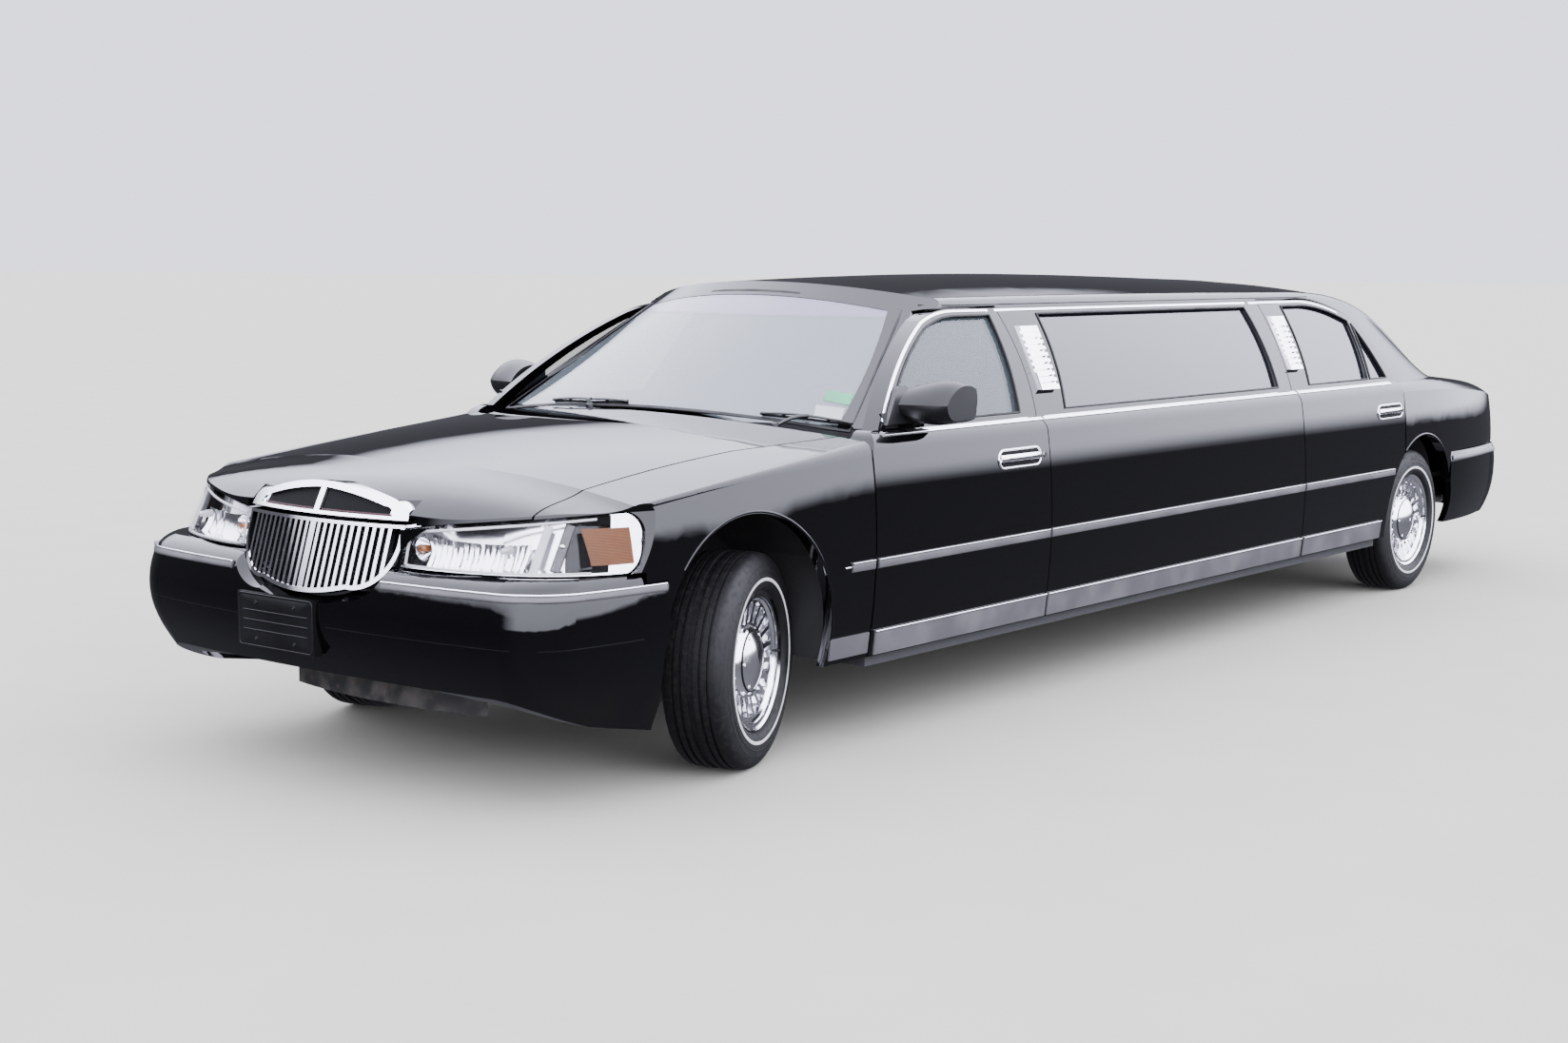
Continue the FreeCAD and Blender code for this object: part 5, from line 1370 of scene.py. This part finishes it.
def cabin_details():
    """Dials with marks, vents and pedals at the driver's place, and the axle cover's bolts."""
    board = Skin("dashboard")
    for index, (x, radius) in enumerate(DIALS):
        middle, _ = board.hit(at(x, 2200, 930), -BACK)
        revolved(f"dial_{index}", "chassis", DIAL,
                 ((0, -4), (radius, -4), (radius, 3), (radius - 4, 1.5), (0, 1.5)),
                 middle, BACK, 40)
        turns = [math.radians(-40 + 260 * step / 12) for step in range(13)]
        marks = on_plane(middle + BACK * 0.0018, -LEFT, UP,
                         [(-0.8 * radius * math.cos(turn), 0.8 * radius * math.sin(turn))
                          for turn in turns])
        row(f"dial_marks_{index}", "chassis", DIAL_MARK, marks, 25, DIAL_TICK)
        inside, outside = radius - 3, radius + 2
        revolved(f"dial_rim_{index}", "chassis", CHROME,
                 ((inside, -2), (outside, -2), (outside, 4), (radius, 5), (inside, 3)),
                 middle, BACK, 40)
    for index, x in enumerate(VENTS_X):
        for slat in range(5):
            route = [board.hit(at(x + shift, 2200, 900 + slat * 11), -BACK)
                     for shift in (-60, -20, 20, 60)]
            moulding(f"vent_{index}_{slat}", "chassis", BLACK_TRIM, route, 8, 4, 1.2)
    for index, (x, width) in enumerate(PEDALS):
        patch(f"pedal_{index}", "chassis", RUBBER, at(x, 820, 560), -LEFT,
              Vector((0, -0.5, 0.86)), rounded(width, 70, 12), 4, 10, 2)
    s, z, radius = AXLE_COVER
    bolts = [(at(0, s, z) + Vector((place.x, 0, place.y)), BACK)
             for place in circle(radius, 10, shift=0.5)]
    row("axle_cover_bolts", "chassis", CAST, bolts, 10, SCREW)


DOOR_CARDS = (("front_door", 640, 1590), ("rear_door", 3890, 4740))     # body, s from and to
CARD_Z, ARMREST_Z, PULL_Z, LEVER_Z, SPEAKER_Z = 700, 742, 815, 880, 560
SPEAKER_RADIUS = 70


def door_card(name, side, first_s, last_s):
    """One door's inner card: leather panel, piped edge, armrest, pull, lever and speaker."""
    skin = Skin(name)
    middle_s, length = (first_s + last_s) / 2, last_s - first_s

    def inner(places):
        """A route on the door's inner face through (s, height) places."""
        return [skin.hit(at(side * 500, s, z), side * LEFT) for s, z in places]

    def about_card(outline, reach=1.0):
        """A route round the card's middle."""
        return inner([(middle_s + a * reach, CARD_Z + b * reach) for a, b in outline])

    def about_speaker(share):
        """A closed circle round the speaker's middle."""
        turns = [math.tau * step / 24 for step in range(25)]
        return inner([(first_s + 170 + SPEAKER_RADIUS * share * math.cos(turn),
                       SPEAKER_Z + SPEAKER_RADIUS * share * math.sin(turn)) for turn in turns])

    panel = [about_card(rounded(length, 520, 60, 8), reach)
             for reach in (0.02, 0.35, 0.7, 0.97, 1)]
    slab(f"card_{name}", name, LEATHER, panel, 7, 9, wrap=True)
    seam = raised(about_card(rounded(length - 50, 470, 50, 8)), 7)
    moulding(f"card_piping_{name}", name, PIPING, seam, 5, 5, 2, True)
    rest = inner([(middle_s + along, ARMREST_Z) for along in (-250, -200, 0, 200, 250)])
    moulding(f"armrest_{name}", name, LEATHER, raised(rest, 26), 42, 60, 18)
    pull = inner([(middle_s + along, PULL_Z) for along in (-90, -70, 0, 70, 90)])
    moulding(f"door_pull_{name}", name, BLACK_TRIM, raised(pull, 30), 14, 16, 5)
    lever, _ = raised(inner([(first_s + 190, LEVER_Z)]), 8)[0]
    patch(f"door_lever_{name}", name, CHROME, lever, side * BACK, UP, rounded(110, 34, 15, 6),
          8, 14, 2)
    ring = raised(about_speaker(1), 8)
    moulding(f"speaker_ring_{name}", name, BLACK_TRIM, ring[:-1], 5, 8, 2, True)
    for index, share in enumerate((0.25, 0.5, 0.75)):
        row(f"speaker_dots_{name}_{index}", name, BLACK_TRIM, raised(about_speaker(share), 7.5),
            8 * (index + 1) + 1, SPEAKER_DOT)


def door_cards():
    """The inner cards of the four doors."""
    for tag, side in SIDES:
        for body, first_s, last_s in DOOR_CARDS:
            door_card(f"{body}_{tag}", side, first_s, last_s)


BELT_WHEELS = (
    # name, x, height, radius
    ("crank", 0, 500, 80), ("water_pump", 0, 680, 62), ("charger", 150, 760, 38))
RADIATOR_S = -788


def engine_details():
    """Ribbed covers, oil cap and belt wheels on the engine's block, and the radiator's core."""
    for index, side in enumerate((1, -1)):
        lean = Vector((side * 0.35, 0, 0.94)).normalized()
        patch(f"rocker_cover_{index}", "chassis", ENGINE_ALLOY, at(side * 165, -20, 912),
              BACK.cross(lean), BACK, rounded(130, 520, 30), 18, 50, 8)
        for rib in range(-2, 3):
            route = [(at(side * 165 + rib * 20, s, 930 - side * rib * 7), UP)
                     for s in (-230, -20, 190)]
            moulding(f"cover_rib_{index}_{rib + 2}", "chassis", ENGINE_ALLOY, route, 8, 7, 2)
    patch("intake_cover", "chassis", BLACK_TRIM, at(0, -20, 925), LEFT, BACK,
          rounded(150, 480, 40), 10, 40, 10)
    revolved("oil_cap", "chassis", BLACK_TRIM, ((0, 0), (26, 0), (28, 16), (22, 22), (0, 22)),
             at(-165, -210, 926), UP, 24)
    for name, x, z, radius in BELT_WHEELS:
        revolved(f"belt_wheel_{name}", "chassis", ENGINE_ALLOY,
                 ((0, 0), (radius, 0), (radius - 8, 10), (radius, 22), (radius - 14, 26), (0, 20)),
                 at(x, -330, z), -BACK, 40)
    for index, x in enumerate(range(-330, 331, 110)):
        moulding(f"radiator_tube_{index}", "chassis", RADIATOR,
                 [(at(x, RADIATOR_S, z), -BACK) for z in (430, 620, 812)], 6, 10, 2)
    fin = bmesh.new()
    bmesh.ops.create_cube(fin, size=1.0)
    bmesh.ops.scale(fin, vec=(0.0015, 0.66, 0.006), verts=fin.verts)
    bmesh.ops.bevel(fin, geom=fin.edges[:], offset=0.0005, segments=1, affect="EDGES")
    row("radiator_fins", "chassis", RADIATOR,
        [(at(0, RADIATOR_S, z), -BACK) for z in range(430, 816, 10)], 39, as_mesh("fin", fin))


# ---------------------------------------------------------------- studio


# the dome's brightness by the sine of the height
LEFT_LIGHT = ((-1.0, 0.35), (-0.02, 0.20), (0.01, 7.6), (0.2, 8.6), (0.75, 9.5), (1.0, 8.0))
RIGHT_LIGHT = ((-1.0, 0.30), (-0.1, 0.12), (0.215, 0.14), (0.27, 3.6), (0.4, 6.6), (0.7, 8.5),
               (1.0, 8.0))
BRIGHTEST = 10.0
BACKDROP = 2.2          # what the camera itself sees behind the floor


class Dome(Nodes):
    """The light all round: bright on the car's left, dark low down on its right."""

    def __init__(self):
        world = bpy.data.worlds.new("dome")
        bpy.context.scene.world = world
        world.use_nodes = True
        self.tree = world.node_tree
        self.tree.nodes.clear()
        toward = self.node("ShaderNodeTexCoord", {}, {}, "Generated")
        left, rise = (self.node("ShaderNodeSeparateXYZ", {}, {"Vector": toward}, part)
                      for part in ("X", "Z"))
        near = self.ramp(rise, LEFT_LIGHT)
        far = self.ramp(rise, RIGHT_LIGHT)
        side = self.node("ShaderNodeMapRange", {"interpolation_type": "SMOOTHSTEP"},
                         {"Value": left, "From Min": -0.25, "From Max": 0.30})
        light = self.node("ShaderNodeMix", {"data_type": "FLOAT"}, {0: side, 2: far, 3: near})
        seen = self.node("ShaderNodeLightPath", {}, {}, "Is Camera Ray")
        light = light * (1 - seen) + seen * BACKDROP
        back = self.node("ShaderNodeBackground", {},
                         {"Color": (0.84, 0.85, 1.0), "Strength": light})
        last = self.tree.nodes.new("ShaderNodeOutputWorld")
        self.tree.links.new(back.socket, last.inputs["Surface"])

    def ramp(self, rise, stops):
        """The brightness by height, from (sine of the height, brightness) stops."""
        stops = [(0.5 + height / 2, (light / BRIGHTEST,) * 3) for height, light in stops]
        colour = self.node("ShaderNodeValToRGB", {"stops": stops}, {"Fac": rise * 0.5 + 0.5})
        return self.node("ShaderNodeSeparateColor", {}, {"Color": colour}) * BRIGHTEST


def studio():
    """A pale floor and the dome's light."""
    disc = bmesh.new()
    bmesh.ops.create_circle(disc, cap_ends=True, radius=150.0, segments=96)
    mesh = bpy.data.meshes.new("floor")
    disc.to_mesh(mesh)
    floor = put("floor", mesh)
    pale = Finish("pale_floor")
    speckle = pale.noise(2.0, 4.0)
    mesh.materials.append(pale.shade(
        Base_Color=pale.between(speckle, (0.255, 0.250, 0.212), (0.285, 0.280, 0.240)),
        Roughness=0.85, Specular_IOR_Level=0.1))
    floor.visible_glossy = False        # gloss sees the dome's dark lower half instead
    Dome()


CAMERA_PLACE = at(5236, -5350, 1629)
CAMERA_YAW, CAMERA_PITCH, CAMERA_ROLL = 0.665, -0.120, 0.008     # radians, from +Y towards -X
CAMERA_LENS = 51.05


def camera():
    """Looks back over the car from ahead of its left front corner."""
    data = bpy.data.cameras.new("camera")
    data.lens = CAMERA_LENS
    data.sensor_width = 36.0
    data.clip_start, data.clip_end = 0.1, 400.0
    holder = put("camera", data)
    forward = Vector((-math.sin(CAMERA_YAW) * math.cos(CAMERA_PITCH),
                      math.cos(CAMERA_YAW) * math.cos(CAMERA_PITCH), math.sin(CAMERA_PITCH)))
    turn = forward.to_track_quat("-Z", "Y").to_matrix().to_4x4()
    turn = turn @ Matrix.Rotation(CAMERA_ROLL, 4, "Z")
    holder.matrix_world = Matrix.Translation(CAMERA_PLACE) @ turn
    bpy.context.scene.camera = holder


# ---------------------------------------------------------------- the car, dressed


side_trim()
window_trim()
door_handles()
bumper_trim()
headlamps()
grille_and_header()
front_plate()
windscreen_fittings()
mirrors()
side_lamps()
wheels()
tail_fittings()
body_details()
seats()
cabin_details()
door_cards()
engine_details()
studio()
camera()
